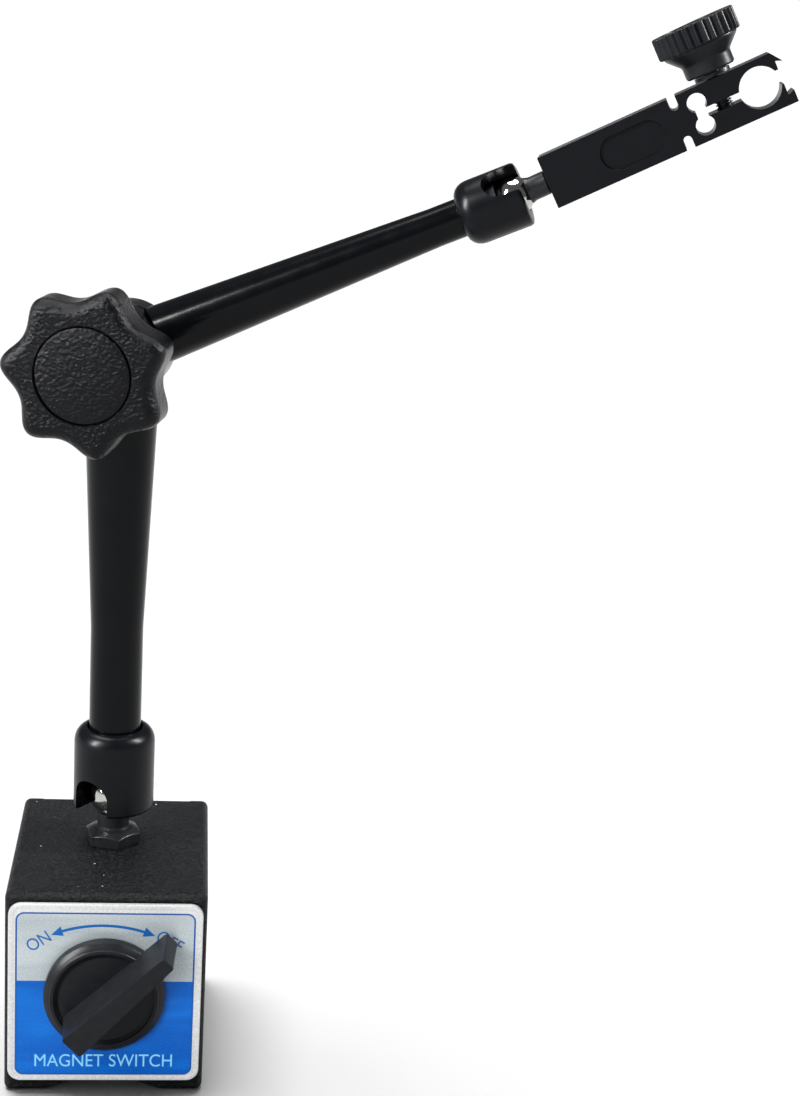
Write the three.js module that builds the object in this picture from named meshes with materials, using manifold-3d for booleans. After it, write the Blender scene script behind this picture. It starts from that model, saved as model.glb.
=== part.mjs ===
// Switchable magnetic base with a universal arm and a stem clamp for a dial indicator.
// Millimetres, +Z up. The origin is the middle of the sole's right-hand land, on the table.
//
// The stand is a steel block with a turning magnet inside, a ball joint on top, two arms
// with a common elbow that one star knob locks, a second ball joint, and the clamp that
// holds an indicator by its stem or its dovetail.

import * as THREE from 'three';
import { RoundedBoxGeometry } from 'three/addons/geometries/RoundedBoxGeometry.js';
import { mergeVertices } from 'three/addons/utils/BufferGeometryUtils.js';
import Module from 'manifold-3d';

const wasm = await Module();
wasm.setup();

const FIT = 0.3; // gap between pieces that touch
const DEG = Math.PI / 180;

const BASE = { width: 50, depth: 60, height: 55, edge: 1.8 };
const GROOVE = { halfWidth: 16, rise: 6.4 }; // V-groove along the sole
const BACK_RECESS = { halfWidth: 20, depth: 1.5 };
const BORE = { radius: 15.5, z: 29, depth: 54 }; // holds the turning magnet
const SPACER_HALF = 2.5; // brass plate between the steel poles

const LABEL = { width: 48, height: 49, z: 28.4, corner: 3.2, thickness: 0.8, rim: 1.3, rimRise: 0.3 };
const SWITCH = { restAngle: 45 * DEG, radius: 15, thickness: 4 };
const HANDLE = { pointer: 23.4, pointerHalf: 2.1, tail: 11, tailHalf: 3.6, height: 11.5, edge: 0.5 };
const SHAFT_RADIUS = 4;
const ROTOR = { radius: 15.1, magnetHalf: 4.5, discThickness: 3, front: 6.2, back: 53.5 };
const TAIL_PIVOT = { radius: 3, length: 3 };
const BUSH_THICKNESS = 5.6;
const KNOB_PIN = { radius: 0.9, half: 4.5, y: -3.1 };
const STOP = { radius: 1.2, orbit: 12, window: 9 }; // pin that limits the switch to a quarter turn

const STUD = { y: 32.8, neckRadius: 4.15, threadRadius: 3.7, threadLength: 8 };
const FLANGE = { across: 13, height: 3.8, turn: 14 * DEG, chamfer: 1.5 }; // the stud's hexagon
const LOWER_BALL_Z = 68.3;
const LOWER = {
  ball: 6.25, lip: 3.3, cup: 10.35, cupLength: 22, bore: 6.95, mouth: 7.2,
  slotHalf: 5.2, slotTop: 6.3, seatFrom: 4.7, seatTo: 8.6,
};
const LOWER_ARM = { length: 117.5, endRadius: 6.65, taperFrom: 46, elbowRadius: 9.15, start: 9 };
const UPPER = {
  ball: 4.75, lip: 2.5, cup: 7.7, cupLength: 15.8, bore: 5.05, mouth: 5.1,
  slotHalf: 4.1, slotTop: 6, seatFrom: 3.6, seatTo: 6.8,
};
const UPPER_ARM = { length: 102.7, endRadius: 4.65, taperFrom: 20, elbowRadius: 7.15, start: 7 };
const ARM_YAW = -12.3 * DEG; // the arms' plane, turned towards the front
const UPPER_RISE = 25.1 * DEG; // the upper arm above level
const HOLDER_RISE = 28.1 * DEG;
const LOWER_SLOT_TURN = -115 * DEG; // where the lower cup's slot faces, about the arm
const UPPER_SLOT_TURN = -135 * DEG;

const ELBOW = { eyeRadius: 11.4, eyeThickness: 9.1, cavityRadius: 6.2, cavityHalf: 5.6 };
const BOLT = {
  threadRadius: 3.9, reach: 24, coneSmall: 3.2, coneLarge: 4.9, coneHalf: 5.2,
  headRadius: 7, headHeight: 2.2,
};
const ROD = { lowerRadius: 2, upperRadius: 1.5, lowerOffset: 2.3, upperOffset: 2.1 };
const WASHER = { radius: 8, thickness: 1.5 };
const STAR = { lobes: 7, radius: 20, waist: 16.6, firstLobe: 22.2 * DEG, front: 37, body: 13, edge: 2.4 };
const STAR_HUB_RADIUS = 8.5;
const STAR_CAP = { radius: 11.2, depth: 2 };
const INSERT = { radius: 6, length: 14.5 };

const NECK = { radius: 2.85, length: 8.8, threadRadius: 2.4, threadLength: 8 };
const BLOCK = {
  length: 58.9, half: 6.25, thickness: 10.5, chamfer: 0.5, cornerLength: 2.1, cornerHeight: 2.6,
};
const FLEX_SLOT = { u: 33, half: 1, depth: 3.1 };
const RELIEF = { u: 37.95, v: 2.72, radius: 2.25, waistHalf: 1, waistHeight: 1.5 }; // figure of eight
const STEM_HOLE = { u: 52.2, radius: 4.7625 }; // three-eighths of an inch across
const SLIT = { from: 38, low: -1, high: 1, mouthLow: -1.25, mouthHigh: 2.1 };
const DOVETAIL = { depth: 1.6, mouth: 3.4, floor: 4.1 };
const MAKER_RECESS = { from: 13.6, to: 28.8, half: 3.8, depth: 0.7 };
const CLAMP = { u: 43.6, screwRadius: 2, collarRadius: 4.2, foot: 1.2 };
const CLAMP_KNOB = { hubRadius: 5.8, hubFrom: 1.4, hubTo: 4.4, rimFrom: 7.9, rimTo: 13.2 };
const CLAMP_RIM = { radius: 9.75, rootRadius: 9.3, ribs: 32 };
const THROUGH = 20; // half the length of a tool that cuts right through the clamp or an eye

const finish = (color, roughness, metalness) =>
  new THREE.MeshStandardMaterial({ color, roughness, metalness });

const CRINKLE_BLACK = finish(0x17181a, 0.55, 0.2);
const GLOSS_BLACK = finish(0x0a0b0c, 0.18, 0.3);
const SATIN_BLACK = finish(0x111316, 0.38, 0.4);
const BLACK_OXIDE = finish(0x1a1c1e, 0.35, 0.8);
const BLACK_PLASTIC = finish(0x18191b, 0.5, 0);
const CHROME = finish(0xdfe2e4, 0.08, 1);
const STEEL = finish(0x8d9194, 0.3, 1);
const BRASS = finish(0xb48a42, 0.3, 1);
const FERRITE = finish(0x2b2b2e, 0.6, 0.3);
const LABEL_BLUE = finish(0x1470d6, 0.25, 0.1);

// A closed geometry as a solid that can be joined and cut.
function solidOf(geometry) {
  const bare = geometry.clone();
  bare.deleteAttribute('normal');
  bare.deleteAttribute('uv');
  const merged = mergeVertices(bare, 1e-4);
  const triangles = [];
  const index = merged.index.array;
  for (let i = 0; i < index.length; i += 3) {
    const [a, b, c] = [index[i], index[i + 1], index[i + 2]];
    if (a !== b && b !== c && c !== a) triangles.push(a, b, c);
  }
  const vertProperties = new Float32Array(merged.attributes.position.array);
  const triVerts = new Uint32Array(triangles);
  return new wasm.Manifold(new wasm.Mesh({ numProp: 3, vertProperties, triVerts }));
}

function geometryOf(solid) {
  const { vertProperties, triVerts } = solid.getMesh();
  const geometry = new THREE.BufferGeometry();
  geometry.setAttribute('position', new THREE.BufferAttribute(vertProperties, 3));
  geometry.setIndex(new THREE.BufferAttribute(triVerts, 1));
  geometry.computeVertexNormals();
  return geometry;
}

function piece(group, name, material, solid) {
  const mesh = new THREE.Mesh(geometryOf(solid), material);
  mesh.name = name;
  group.add(mesh);
}

// A body turned about Z from [radius, height] points that start and end on the axis.
function turned(profile, sides = 32) {
  const points = profile.map(([r, z]) => new THREE.Vector2(r, z));
  return solidOf(new THREE.LatheGeometry(points, sides).rotateX(Math.PI / 2));
}

// The same, about the elbow's axis: heights run along +Y.
function turnedAlongY(profile, sides = 32) {
  const points = profile.map(([r, y]) => new THREE.Vector2(r, y));
  return solidOf(new THREE.LatheGeometry(points, sides));
}

function rodZ(radius, from, to, sides = 24, x = 0, y = 0) {
  const length = to - from;
  const geometry = new THREE.CylinderGeometry(radius, radius, length, sides);
  geometry.rotateX(Math.PI / 2).translate(x, y, from + length / 2);
  return solidOf(geometry);
}

function rodY(radius, from, to, sides = 24, x = 0, z = 0) {
  const length = to - from;
  const geometry = new THREE.CylinderGeometry(radius, radius, length, sides);
  geometry.translate(x, from + length / 2, z);
  return solidOf(geometry);
}

function box([x0, y0, z0], [x1, y1, z1]) {
  const geometry = new THREE.BoxGeometry(x1 - x0, y1 - y0, z1 - z0);
  geometry.translate((x0 + x1) / 2, (y0 + y1) / 2, (z0 + z1) / 2);
  return solidOf(geometry);
}

function ballAt(radius, z = 0, sides = 20) {
  const geometry = new THREE.SphereGeometry(radius, sides, sides / 2);
  return solidOf(geometry.rotateX(Math.PI / 2).translate(0, 0, z));
}

// A plate whose outline lies in X and Z and whose thickness runs from y0 to y1.
function plateY(outline, y0, y1, bevel = 0) {
  const options = {
    depth: y1 - y0 - 2 * bevel,
    bevelEnabled: bevel > 0,
    bevelThickness: bevel,
    bevelSize: bevel,
    bevelOffset: -bevel,
    bevelSegments: 1,
    curveSegments: 4,
  };
  const geometry = new THREE.ExtrudeGeometry(outline, options);
  geometry.translate(0, 0, -(y1 - bevel)).rotateX(Math.PI / 2);
  return solidOf(geometry);
}

function outlineOf(points) {
  return new THREE.Shape(points.map(([x, z]) => new THREE.Vector2(x, z)));
}

function roundedOutline(width, height, radius, cx = 0, cz = 0) {
  const [x0, x1] = [cx - width / 2, cx + width / 2];
  const [z0, z1] = [cz - height / 2, cz + height / 2];
  const shape = new THREE.Shape();
  shape.moveTo(x0 + radius, z0);
  shape.lineTo(x1 - radius, z0);
  shape.absarc(x1 - radius, z0 + radius, radius, -Math.PI / 2, 0);
  shape.lineTo(x1, z1 - radius);
  shape.absarc(x1 - radius, z1 - radius, radius, 0, Math.PI / 2);
  shape.lineTo(x0 + radius, z1);
  shape.absarc(x0 + radius, z1 - radius, radius, Math.PI / 2, Math.PI);
  shape.lineTo(x0, z0 + radius);
  shape.absarc(x0 + radius, z0 + radius, radius, Math.PI, 1.5 * Math.PI);
  return shape;
}

// ---- Magnetic base -------------------------------------------------------------------

function baseBlock() {
  const { width, depth, height, edge } = BASE;
  const shell = new RoundedBoxGeometry(width, depth, height, 2, edge);
  shell.translate(0, depth / 2, height / 2);
  const below = 0.4; // the groove's slopes go on a little below the sole
  const slopes = outlineOf([
    [-GROOVE.halfWidth - 1, -below], [0, GROOVE.rise], [GROOVE.halfWidth + 1, -below],
  ]);
  const groove = plateY(slopes, -1, depth + 1);
  const recess = box([-BACK_RECESS.halfWidth, depth - BACK_RECESS.depth, -1],
    [BACK_RECESS.halfWidth, depth + 1, height + 1]);
  const bore = rodY(BORE.radius, -1, BORE.depth, 48, 0, BORE.z);
  const tailHole = rodY(TAIL_PIVOT.radius + FIT, BORE.depth - 1, BORE.depth + 3, 24, 0, BORE.z);
  const studHoleFrom = height - STUD.threadLength - 1.5;
  const studHole = rodZ(STUD.threadRadius + FIT, studHoleFrom, height + 1, 32, 0, STUD.y);
  return solidOf(shell).subtract(groove).subtract(recess)
    .subtract(bore).subtract(tailHole).subtract(studHole);
}

function addPoles(stand) {
  const block = baseBlock();
  const { width, depth, height } = BASE;
  const inner = SPACER_HALF + FIT;
  const right = block.intersect(box([inner, -1, -1], [width, depth + 1, height + 1]));
  const left = block.intersect(box([-width, -1, -1], [-inner, depth + 1, height + 1]));
  const spacer = block.intersect(box([-SPACER_HALF, -1, -1], [SPACER_HALF, depth + 1, height + 1]));
  piece(stand, 'pole_block_left', CRINKLE_BLACK, left);
  piece(stand, 'pole_block_right', CRINKLE_BLACK, right);
  piece(stand, 'pole_spacer', BRASS, spacer);
}

function labelPlate() {
  const { width, height, z, corner, thickness, rim, rimRise } = LABEL;
  const back = -FIT;
  const face = back - thickness;
  const plate = plateY(roundedOutline(width, height, corner, 0, z), face, back);
  const outer = plateY(roundedOutline(width, height, corner, 0, z), face - rimRise, face + 0.1);
  const inside = roundedOutline(width - 2 * rim, height - 2 * rim, corner - rim, 0, z);
  const inner = plateY(inside, face - 1, face + 1);
  const hole = rodY(SHAFT_RADIUS + 1, face - 1, 1, 32, 0, BORE.z);
  return plate.add(outer.subtract(inner)).subtract(hole);
}

// The bush closes the bore's mouth and carries the shaft and the stop pin.
function addFrontBush(stand) {
  const plate = rodY(BORE.radius - FIT, 0, BUSH_THICKNESS, 48, 0, BORE.z);
  const shaftHole = rodY(SHAFT_RADIUS + FIT, -1, 7, 32, 0, BORE.z);
  const pinX = STOP.orbit * Math.cos(Math.PI / 4);
  const pinZ = BORE.z + STOP.orbit * Math.sin(Math.PI / 4);
  const pinHole = rodY(STOP.radius + FIT, -1, 7, 16, pinX, pinZ);
  piece(stand, 'front_bush', BRASS, plate.subtract(shaftHole).subtract(pinHole));
  const pin = rodY(STOP.radius, FIT, ROTOR.front + 2.2, 16, pinX, pinZ);
  piece(stand, 'stop_pin', STEEL, pin);
}

// The hole for the pin that holds the knob on the shaft.
function crossHole(half = 20) {
  return rodZ(KNOB_PIN.radius + FIT, -half, half, 16, 0, KNOB_PIN.y);
}

// The rotor is built with its axis on Y through the group's origin, switched off.
function rotorDisc(front) {
  return rodY(ROTOR.radius, front, front + ROTOR.discThickness, 48);
}

// A quarter-turn window in the disc's edge, which the stop pin stands in.
function stopWindow() {
  const reach = (STOP.radius + 2 * FIT) / STOP.orbit;
  const [from, to] = [-45 * DEG - reach, 45 * DEG + reach];
  const shape = new THREE.Shape();
  const inner = STOP.window;
  shape.moveTo(inner * Math.cos(from), inner * Math.sin(from));
  shape.absarc(0, 0, 2 * inner, from, to, false);
  shape.lineTo(inner * Math.cos(to), inner * Math.sin(to));
  shape.absarc(0, 0, inner, to, from, true);
  return plateY(shape, ROTOR.front - 1, ROTOR.front + ROTOR.discThickness + 1);
}

function addRotor(rotor) {
  const coreFront = ROTOR.front + ROTOR.discThickness + FIT;
  const coreBack = ROTOR.back - ROTOR.discThickness - FIT;
  const core = rodY(ROTOR.radius, coreFront, coreBack, 48);
  const { magnetHalf } = ROTOR;
  const reach = ROTOR.radius + 1;
  const slab = box([-reach, 0, -magnetHalf], [reach, 60, magnetHalf]);
  const above = box([-reach, 0, magnetHalf + FIT], [reach, 60, reach]);
  const below = box([-reach, 0, -reach], [reach, 60, -magnetHalf - FIT]);
  piece(rotor, 'rotor_magnet', FERRITE, core.intersect(slab));
  piece(rotor, 'rotor_shoe_upper', STEEL, core.intersect(above));
  piece(rotor, 'rotor_shoe_lower', STEEL, core.intersect(below));

  const shaft = rodY(SHAFT_RADIUS, -4.6, ROTOR.front + 1, 32);
  const pinHole = crossHole().rotate([0, -SWITCH.restAngle / DEG, 0]);
  const spindle = rotorDisc(ROTOR.front).subtract(stopWindow()).add(shaft).subtract(pinHole);
  piece(rotor, 'rotor_spindle', BRASS, spindle);
  const pivot = rodY(TAIL_PIVOT.radius, ROTOR.back - 1, ROTOR.back + TAIL_PIVOT.length, 24);
  const tail = rotorDisc(ROTOR.back - ROTOR.discThickness).add(pivot);
  piece(rotor, 'rotor_tail', BRASS, tail);
}

// A bar handle along X that narrows towards its pointer, standing on the disc's face at y from.
function handleBar(from) {
  const { pointer, pointerHalf, tail, tailHalf, height, edge } = HANDLE;
  const plan = outlineOf([
    [-tail, -tailHalf], [pointer, -pointerHalf], [pointer, pointerHalf], [-tail, tailHalf],
  ]);
  const sunk = edge + 0.1; // how far its foot goes into the disc
  return plateY(plan, from - height, from + sunk, edge);
}

function addSwitchKnob(rotor) {
  const back = -FIT - LABEL.thickness - LABEL.rimRise - FIT;
  const front = back - SWITCH.thickness;
  const r = SWITCH.radius;
  const disc = turnedAlongY([
    [0, front + 0.7], [r - 3.4, front + 0.7], [r - 2.8, front], [r - 1.6, front], [r, front + 1.6],
    [r, back], [0, back],
  ], 48);
  const hub = rodY(SHAFT_RADIUS + 0.9, back - 1, -0.4, 32);
  const socket = rodY(SHAFT_RADIUS + FIT, -4.9, 1, 32);
  const pinHole = crossHole(7);
  const knob = disc.add(handleBar(front + 0.7)).add(hub).subtract(socket).subtract(pinHole);
  piece(rotor, 'switch_knob', BLACK_PLASTIC, knob);
  const pin = rodZ(KNOB_PIN.radius, -KNOB_PIN.half, KNOB_PIN.half, 16, 0, KNOB_PIN.y);
  piece(rotor, 'knob_pin', STEEL, pin);
}

function addBase(stand) {
  addPoles(stand);
  piece(stand, 'label_plate', LABEL_BLUE, labelPlate());
  addFrontBush(stand);
  const rotor = new THREE.Group();
  rotor.position.z = BORE.z;
  stand.add(rotor);
  addRotor(rotor);
  const handle = new THREE.Group();
  handle.rotation.y = -SWITCH.restAngle;
  rotor.add(handle);
  addSwitchKnob(handle);
}

// ---- Ball joints ---------------------------------------------------------------------

function addLowerStud(stand) {
  const top = BASE.height;
  const { across, height, turn, chamfer } = FLANGE;
  const corner = across / Math.sqrt(3);
  const hex = new THREE.CylinderGeometry(corner, corner, height, 6);
  hex.rotateY(turn).rotateX(Math.PI / 2).translate(0, 0, top + FIT + height / 2);
  const flangeTop = top + FIT + height;
  const [crownRadius, crownTopRadius] = [across / 2 + 1.2, across / 2 - 1.2];
  const crown = turned([
    [0, top], [crownRadius, top], [crownRadius, flangeTop - chamfer], [crownTopRadius, flangeTop],
    [0, flangeTop],
  ]);
  const neckTop = LOWER_BALL_Z - Math.sqrt(LOWER.ball ** 2 - STUD.neckRadius ** 2) - FIT - 0.2;
  const neck = rodZ(STUD.neckRadius, flangeTop - 1, neckTop, 32);
  const thread = rodZ(STUD.threadRadius, top - STUD.threadLength, top + 1, 32);
  const cup = ballAt(LOWER.ball + FIT, LOWER_BALL_Z);
  const stud = solidOf(hex).intersect(crown).add(neck).add(thread).subtract(cup);
  piece(stand, 'lower_stud', BLACK_OXIDE, stud.translate([0, STUD.y, 0]));
}

// A ball cup along +Z with its ball at the origin: bored from behind, with a lip that keeps
// the ball in and a slot on the +X side that lets the neck swing out.
function ballCup({ ball, lip, cup, cupLength, bore, mouth, slotHalf, slotTop }) {
  const top = cupLength - lip;
  const dome = 3.6;
  const lipEdge = 0.8;
  const body = turned([
    [0, -lip], [cup - lipEdge, -lip], [cup, -lip + lipEdge], [cup, top - dome], [cup - 0.4, top - 1.9],
    [cup - 1.1, top - 0.7], [cup - 2, top], [0, top],
  ], 32);
  const room = rodZ(bore, 0, top + 1, 32);
  const slot = rodY(slotHalf, 0, 2 * cup, 20, 0, slotTop - slotHalf)
    .add(box([-slotHalf, 0, -lip - 1], [slotHalf, 2 * cup, slotTop - slotHalf]));
  const socket = ballAt(ball + FIT);
  const tubeHole = rodZ(mouth, top - 1, top + 1, 32);
  return body.subtract(room).subtract(socket).subtract(slot.rotate([0, 0, -90])).subtract(tubeHole);
}

// The pad that the push rod presses onto the ball.
function ballSeat({ ball, bore, seatFrom, seatTo }) {
  return rodZ(bore - FIT, seatFrom, seatTo).subtract(ballAt(ball + FIT));
}

// ---- Arms and elbow ------------------------------------------------------------------

// An arm along +Z from its ball, with half of the elbow's eye at the far end.
// side is -1 for the eye in front of the arm's middle plane and +1 for the one behind it.
function armBody(arm, side, rodRadius, rodOffset) {
  const { length, endRadius, taperFrom, elbowRadius, start } = arm;
  const { eyeRadius, eyeThickness, cavityRadius, cavityHalf } = ELBOW;
  const tube = turned([
    [0, start], [endRadius, start], [endRadius, taperFrom], [elbowRadius, length - eyeRadius],
    [elbowRadius, length - 1], [0, length - 1],
  ]);
  const span = (near, far) => (side < 0 ? [-far, -near] : [near, far]);
  const [eyeFrom, eyeTo] = span(FIT / 2, FIT / 2 + eyeThickness);
  const eye = turnedAlongY([
    [0, eyeFrom], [eyeRadius - 0.7, eyeFrom], [eyeRadius, eyeFrom + 0.7], [eyeRadius, eyeTo - 0.7],
    [eyeRadius - 0.7, eyeTo], [0, eyeTo],
  ], 40).translate([0, 0, length]);
  const [clearFrom, clearTo] = span(-THROUGH, FIT / 2);
  const clearance = rodY(eyeRadius + 0.5, clearFrom, clearTo, 40, 0, length);
  const [cavityFrom, cavityTo] = span(-1, cavityHalf);
  const cavity = rodY(cavityRadius, cavityFrom, cavityTo, 24, 0, length);
  const rodHole = rodZ(rodRadius + FIT, start - 1, length, 12, 0, side * rodOffset);
  const outside = rodY(40, ...span(FIT / 2 + eyeThickness, 60), 32, 0, length);
  return tube.add(eye).subtract(clearance).subtract(cavity).subtract(rodHole).subtract(outside);
}

// The cone's radius at a distance y along the bolt.
function coneRadius(y) {
  const share = (y + BOLT.coneHalf) / (2 * BOLT.coneHalf);
  return BOLT.coneSmall + share * (BOLT.coneLarge - BOLT.coneSmall);
}

// How far from the bolt's axis a push rod ends, whose far side is at y.
function coneClearance(y) {
  return coneRadius(y) + FIT + 0.05;
}

function pushRod(arm, seatTop, radius, y) {
  return rodZ(radius, seatTop + FIT, arm.length - coneClearance(y + radius), 12, 0, y);
}

function clampBolt() {
  const headTo = FIT / 2 + ELBOW.eyeThickness;
  const headFrom = headTo - BOLT.headHeight;
  return turnedAlongY([
    [0, -BOLT.reach], [BOLT.threadRadius - 0.7, -BOLT.reach], [BOLT.threadRadius, 0.7 - BOLT.reach],
    [BOLT.threadRadius, -BOLT.coneHalf - 1.2], [BOLT.coneSmall, -BOLT.coneHalf - 0.7],
    [BOLT.coneSmall, -BOLT.coneHalf], [BOLT.coneLarge, BOLT.coneHalf], [BOLT.coneLarge, headFrom],
    [BOLT.headRadius, headFrom], [BOLT.headRadius, headTo - 0.5], [BOLT.headRadius - 0.5, headTo],
    [0, headTo],
  ], 40);
}

function starOutline() {
  const points = [];
  const steps = STAR.lobes * 6;
  const middle = (STAR.radius + STAR.waist) / 2;
  const swing = (STAR.radius - STAR.waist) / 2;
  for (let i = 0; i < steps; i += 1) {
    const angle = (i / steps) * 2 * Math.PI;
    const wave = Math.cos(STAR.lobes * angle);
    const radius = middle + swing * (wave + 0.18 * wave * wave - 0.18);
    const turn = angle + STAR.firstLobe;
    points.push([radius * Math.cos(turn), radius * Math.sin(turn)]);
  }
  return outlineOf(points);
}

function starCap(front) {
  const { radius, depth } = STAR_CAP;
  return turnedAlongY([
    [0, front - 0.4], [radius * 0.6, front - 0.2], [radius - 0.6, front + 0.2], [radius, front + 0.7],
    [radius, front + depth - FIT], [0, front + depth - FIT],
  ], 48);
}

function addStarKnob(elbow) {
  const front = -STAR.front;
  const back = front + STAR.body;
  const star = plateY(starOutline(), front, back, STAR.edge);
  const foot = -FIT / 2 - ELBOW.eyeThickness - 2 * FIT - WASHER.thickness;
  const hubRadius = STAR_HUB_RADIUS;
  const hub = turnedAlongY([
    [0, back - 2], [hubRadius + 3, back - 1], [hubRadius, back + 3], [hubRadius, foot], [0, foot],
  ]);
  const insertHole = rodY(INSERT.radius + FIT, foot - INSERT.length - FIT, foot + 1, 24);
  const capHole = rodY(STAR_CAP.radius + FIT, front - 1, front + STAR_CAP.depth, 48);
  piece(elbow, 'star_knob', BLACK_PLASTIC, star.add(hub).subtract(insertHole).subtract(capHole));
  const insert = rodY(INSERT.radius, foot - INSERT.length, foot - 0.2, 24);
  const thread = rodY(BOLT.threadRadius + FIT, foot - 2 * THROUGH, foot + 1, 32);
  piece(elbow, 'knob_insert', BRASS, insert.subtract(thread));
  piece(elbow, 'star_knob_cap', BLACK_PLASTIC, starCap(front));
  const washerBack = -FIT / 2 - ELBOW.eyeThickness - FIT;
  const washer = rodY(WASHER.radius, washerBack - WASHER.thickness, washerBack, 40)
    .subtract(rodY(BOLT.threadRadius + FIT, -30, 0, 32));
  piece(elbow, 'knob_washer', STEEL, washer);
}

function addLowerArm(shoulder) {
  const cup = ballCup(LOWER).rotate([0, 0, LOWER_SLOT_TURN / DEG]);
  piece(shoulder, 'lower_cup', SATIN_BLACK, cup);
  piece(shoulder, 'lower_ball', CHROME, ballAt(LOWER.ball, 0, 24));
  piece(shoulder, 'lower_ball_seat', BLACK_OXIDE, ballSeat(LOWER));
  const frontHole = rodY(BOLT.threadRadius + FIT, -THROUGH, 0, 32, 0, LOWER_ARM.length);
  const arm = armBody(LOWER_ARM, -1, ROD.lowerRadius, ROD.lowerOffset).subtract(frontHole);
  piece(shoulder, 'lower_arm', GLOSS_BLACK, arm);
  const rod = pushRod(LOWER_ARM, LOWER.seatTo, ROD.lowerRadius, -ROD.lowerOffset);
  piece(shoulder, 'lower_push_rod', STEEL, rod);
}

// The arm is built from its ball, then turned end for end, so that the elbow's eye is at the
// group's origin and the arm runs along +Z to its ball.
function addUpperArm(forearm) {
  const { length } = UPPER_ARM;
  const flip = (solid) => solid.rotate([180, 0, 0]).translate([0, 0, length]);
  const arm = armBody(UPPER_ARM, -1, ROD.upperRadius, ROD.upperOffset);
  const rearHole = rodY(BOLT.coneLarge + FIT, -THROUGH, 0, 32, 0, length);
  const headFloor = BOLT.headHeight + FIT - FIT / 2 - ELBOW.eyeThickness;
  const counterbore = rodY(BOLT.headRadius + FIT, -THROUGH, headFloor, 40, 0, length);
  piece(forearm, 'upper_arm', GLOSS_BLACK, flip(arm.subtract(rearHole).subtract(counterbore)));
  const { upperRadius, upperOffset } = ROD;
  const rodFrom = coneClearance(upperOffset + upperRadius);
  const rod = rodZ(upperRadius, rodFrom, length - UPPER.seatTo - FIT, 12, 0, upperOffset);
  piece(forearm, 'upper_push_rod', STEEL, rod);
  const cup = ballCup(UPPER).rotate([0, 0, -UPPER_SLOT_TURN / DEG]);
  piece(forearm, 'upper_cup', SATIN_BLACK, flip(cup));
  piece(forearm, 'upper_ball_seat', BLACK_OXIDE, flip(ballSeat(UPPER)));
}

// ---- Indicator clamp -----------------------------------------------------------------

// The clamp lies along +Z from its ball at the origin. u runs along it from the block's
// near end, and v upwards, which is -X here.
const uv = (u, v) => [-v, NECK.length + u];
const outlineUV = (points) => outlineOf(points.map(([u, v]) => uv(u, v)).reverse());
const cutUV = (points) => plateY(outlineUV(points), -THROUGH, THROUGH);
const holeUV = (u, v, radius, sides = 16) => rodY(radius, -THROUGH, THROUGH, sides, ...uv(u, v));

function addBallStud(holder) {
  const end = NECK.length;
  const neck = rodZ(NECK.radius, 2, end - FIT, 32);
  const thread = rodZ(NECK.threadRadius, 2, end + NECK.threadLength, 24);
  piece(holder, 'upper_ball_stud', CHROME, ballAt(UPPER.ball).add(neck).add(thread));
}

function blockPlate() {
  const { length, half, thickness, chamfer, cornerLength, cornerHeight } = BLOCK;
  const outline = outlineOf([
    uv(0, -half), uv(0, half), uv(length - cornerLength, half), uv(length, half - cornerHeight),
    uv(length, -half),
  ]);
  return plateY(outline, -thickness / 2, thickness / 2, chamfer);
}

function flexSlot(side) {
  const { u, half, depth } = FLEX_SLOT;
  const floor = side * (BLOCK.half - depth + half);
  const outside = side * 10;
  const opening = cutUV([[u - half, floor], [u + half, floor], [u + half, outside], [u - half, outside]]);
  return opening.add(holeUV(u, floor, half, 8));
}

function stemCuts() {
  const { from, low, high, mouthLow, mouthHigh } = SLIT;
  const { length } = BLOCK;
  const { depth, mouth, floor } = DOVETAIL;
  const slit = cutUV([[from, low], [STEM_HOLE.u, low], [STEM_HOLE.u, high], [from, high]]);
  const opening = cutUV([
    [STEM_HOLE.u, mouthLow], [length + 1, mouthLow], [length + 1, mouthHigh], [STEM_HOLE.u, mouthHigh],
  ]);
  const dovetail = cutUV([
    [length - depth, -floor], [length, -mouth], [length + 1, -mouth], [length + 1, mouth], [length, mouth],
    [length - depth, floor],
  ]);
  const { u, v, radius, waistHalf, waistHeight } = RELIEF;
  const waist = cutUV([
    [u - waistHalf, -waistHeight], [u + waistHalf, -waistHeight],
    [u + waistHalf, waistHeight], [u - waistHalf, waistHeight],
  ]);
  const relief = holeUV(u, v, radius).add(holeUV(u, -v, radius)).add(waist);
  const stemHole = holeUV(STEM_HOLE.u, 0, STEM_HOLE.radius, 32);
  return slit.add(opening).add(dovetail).add(relief).add(stemHole);
}

function makerRecess() {
  const { from, to, half, depth } = MAKER_RECESS;
  const [x0, z0] = uv(from, half);
  const [x1, z1] = uv(to, -half);
  const outline = roundedOutline(x1 - x0, z1 - z0, half - 0.1, (x0 + x1) / 2, (z0 + z1) / 2);
  return plateY(outline, -BLOCK.thickness / 2 - 1, -BLOCK.thickness / 2 + depth);
}

function addClampBlock(holder) {
  const studHole = rodZ(NECK.threadRadius + FIT, 0, NECK.length + NECK.threadLength + 1, 24);
  const [, screwZ] = uv(CLAMP.u, 0);
  const screwHole = rodZ(CLAMP.screwRadius + FIT, -BLOCK.half + 0.8, THROUGH, 24)
    .rotate([0, -90, 0]).translate([0, 0, screwZ]);
  const block = blockPlate().subtract(flexSlot(1)).subtract(flexSlot(-1)).subtract(stemCuts())
    .subtract(makerRecess()).subtract(studHole).subtract(screwHole);
  piece(holder, 'clamp_block', SATIN_BLACK, block);
}

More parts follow.
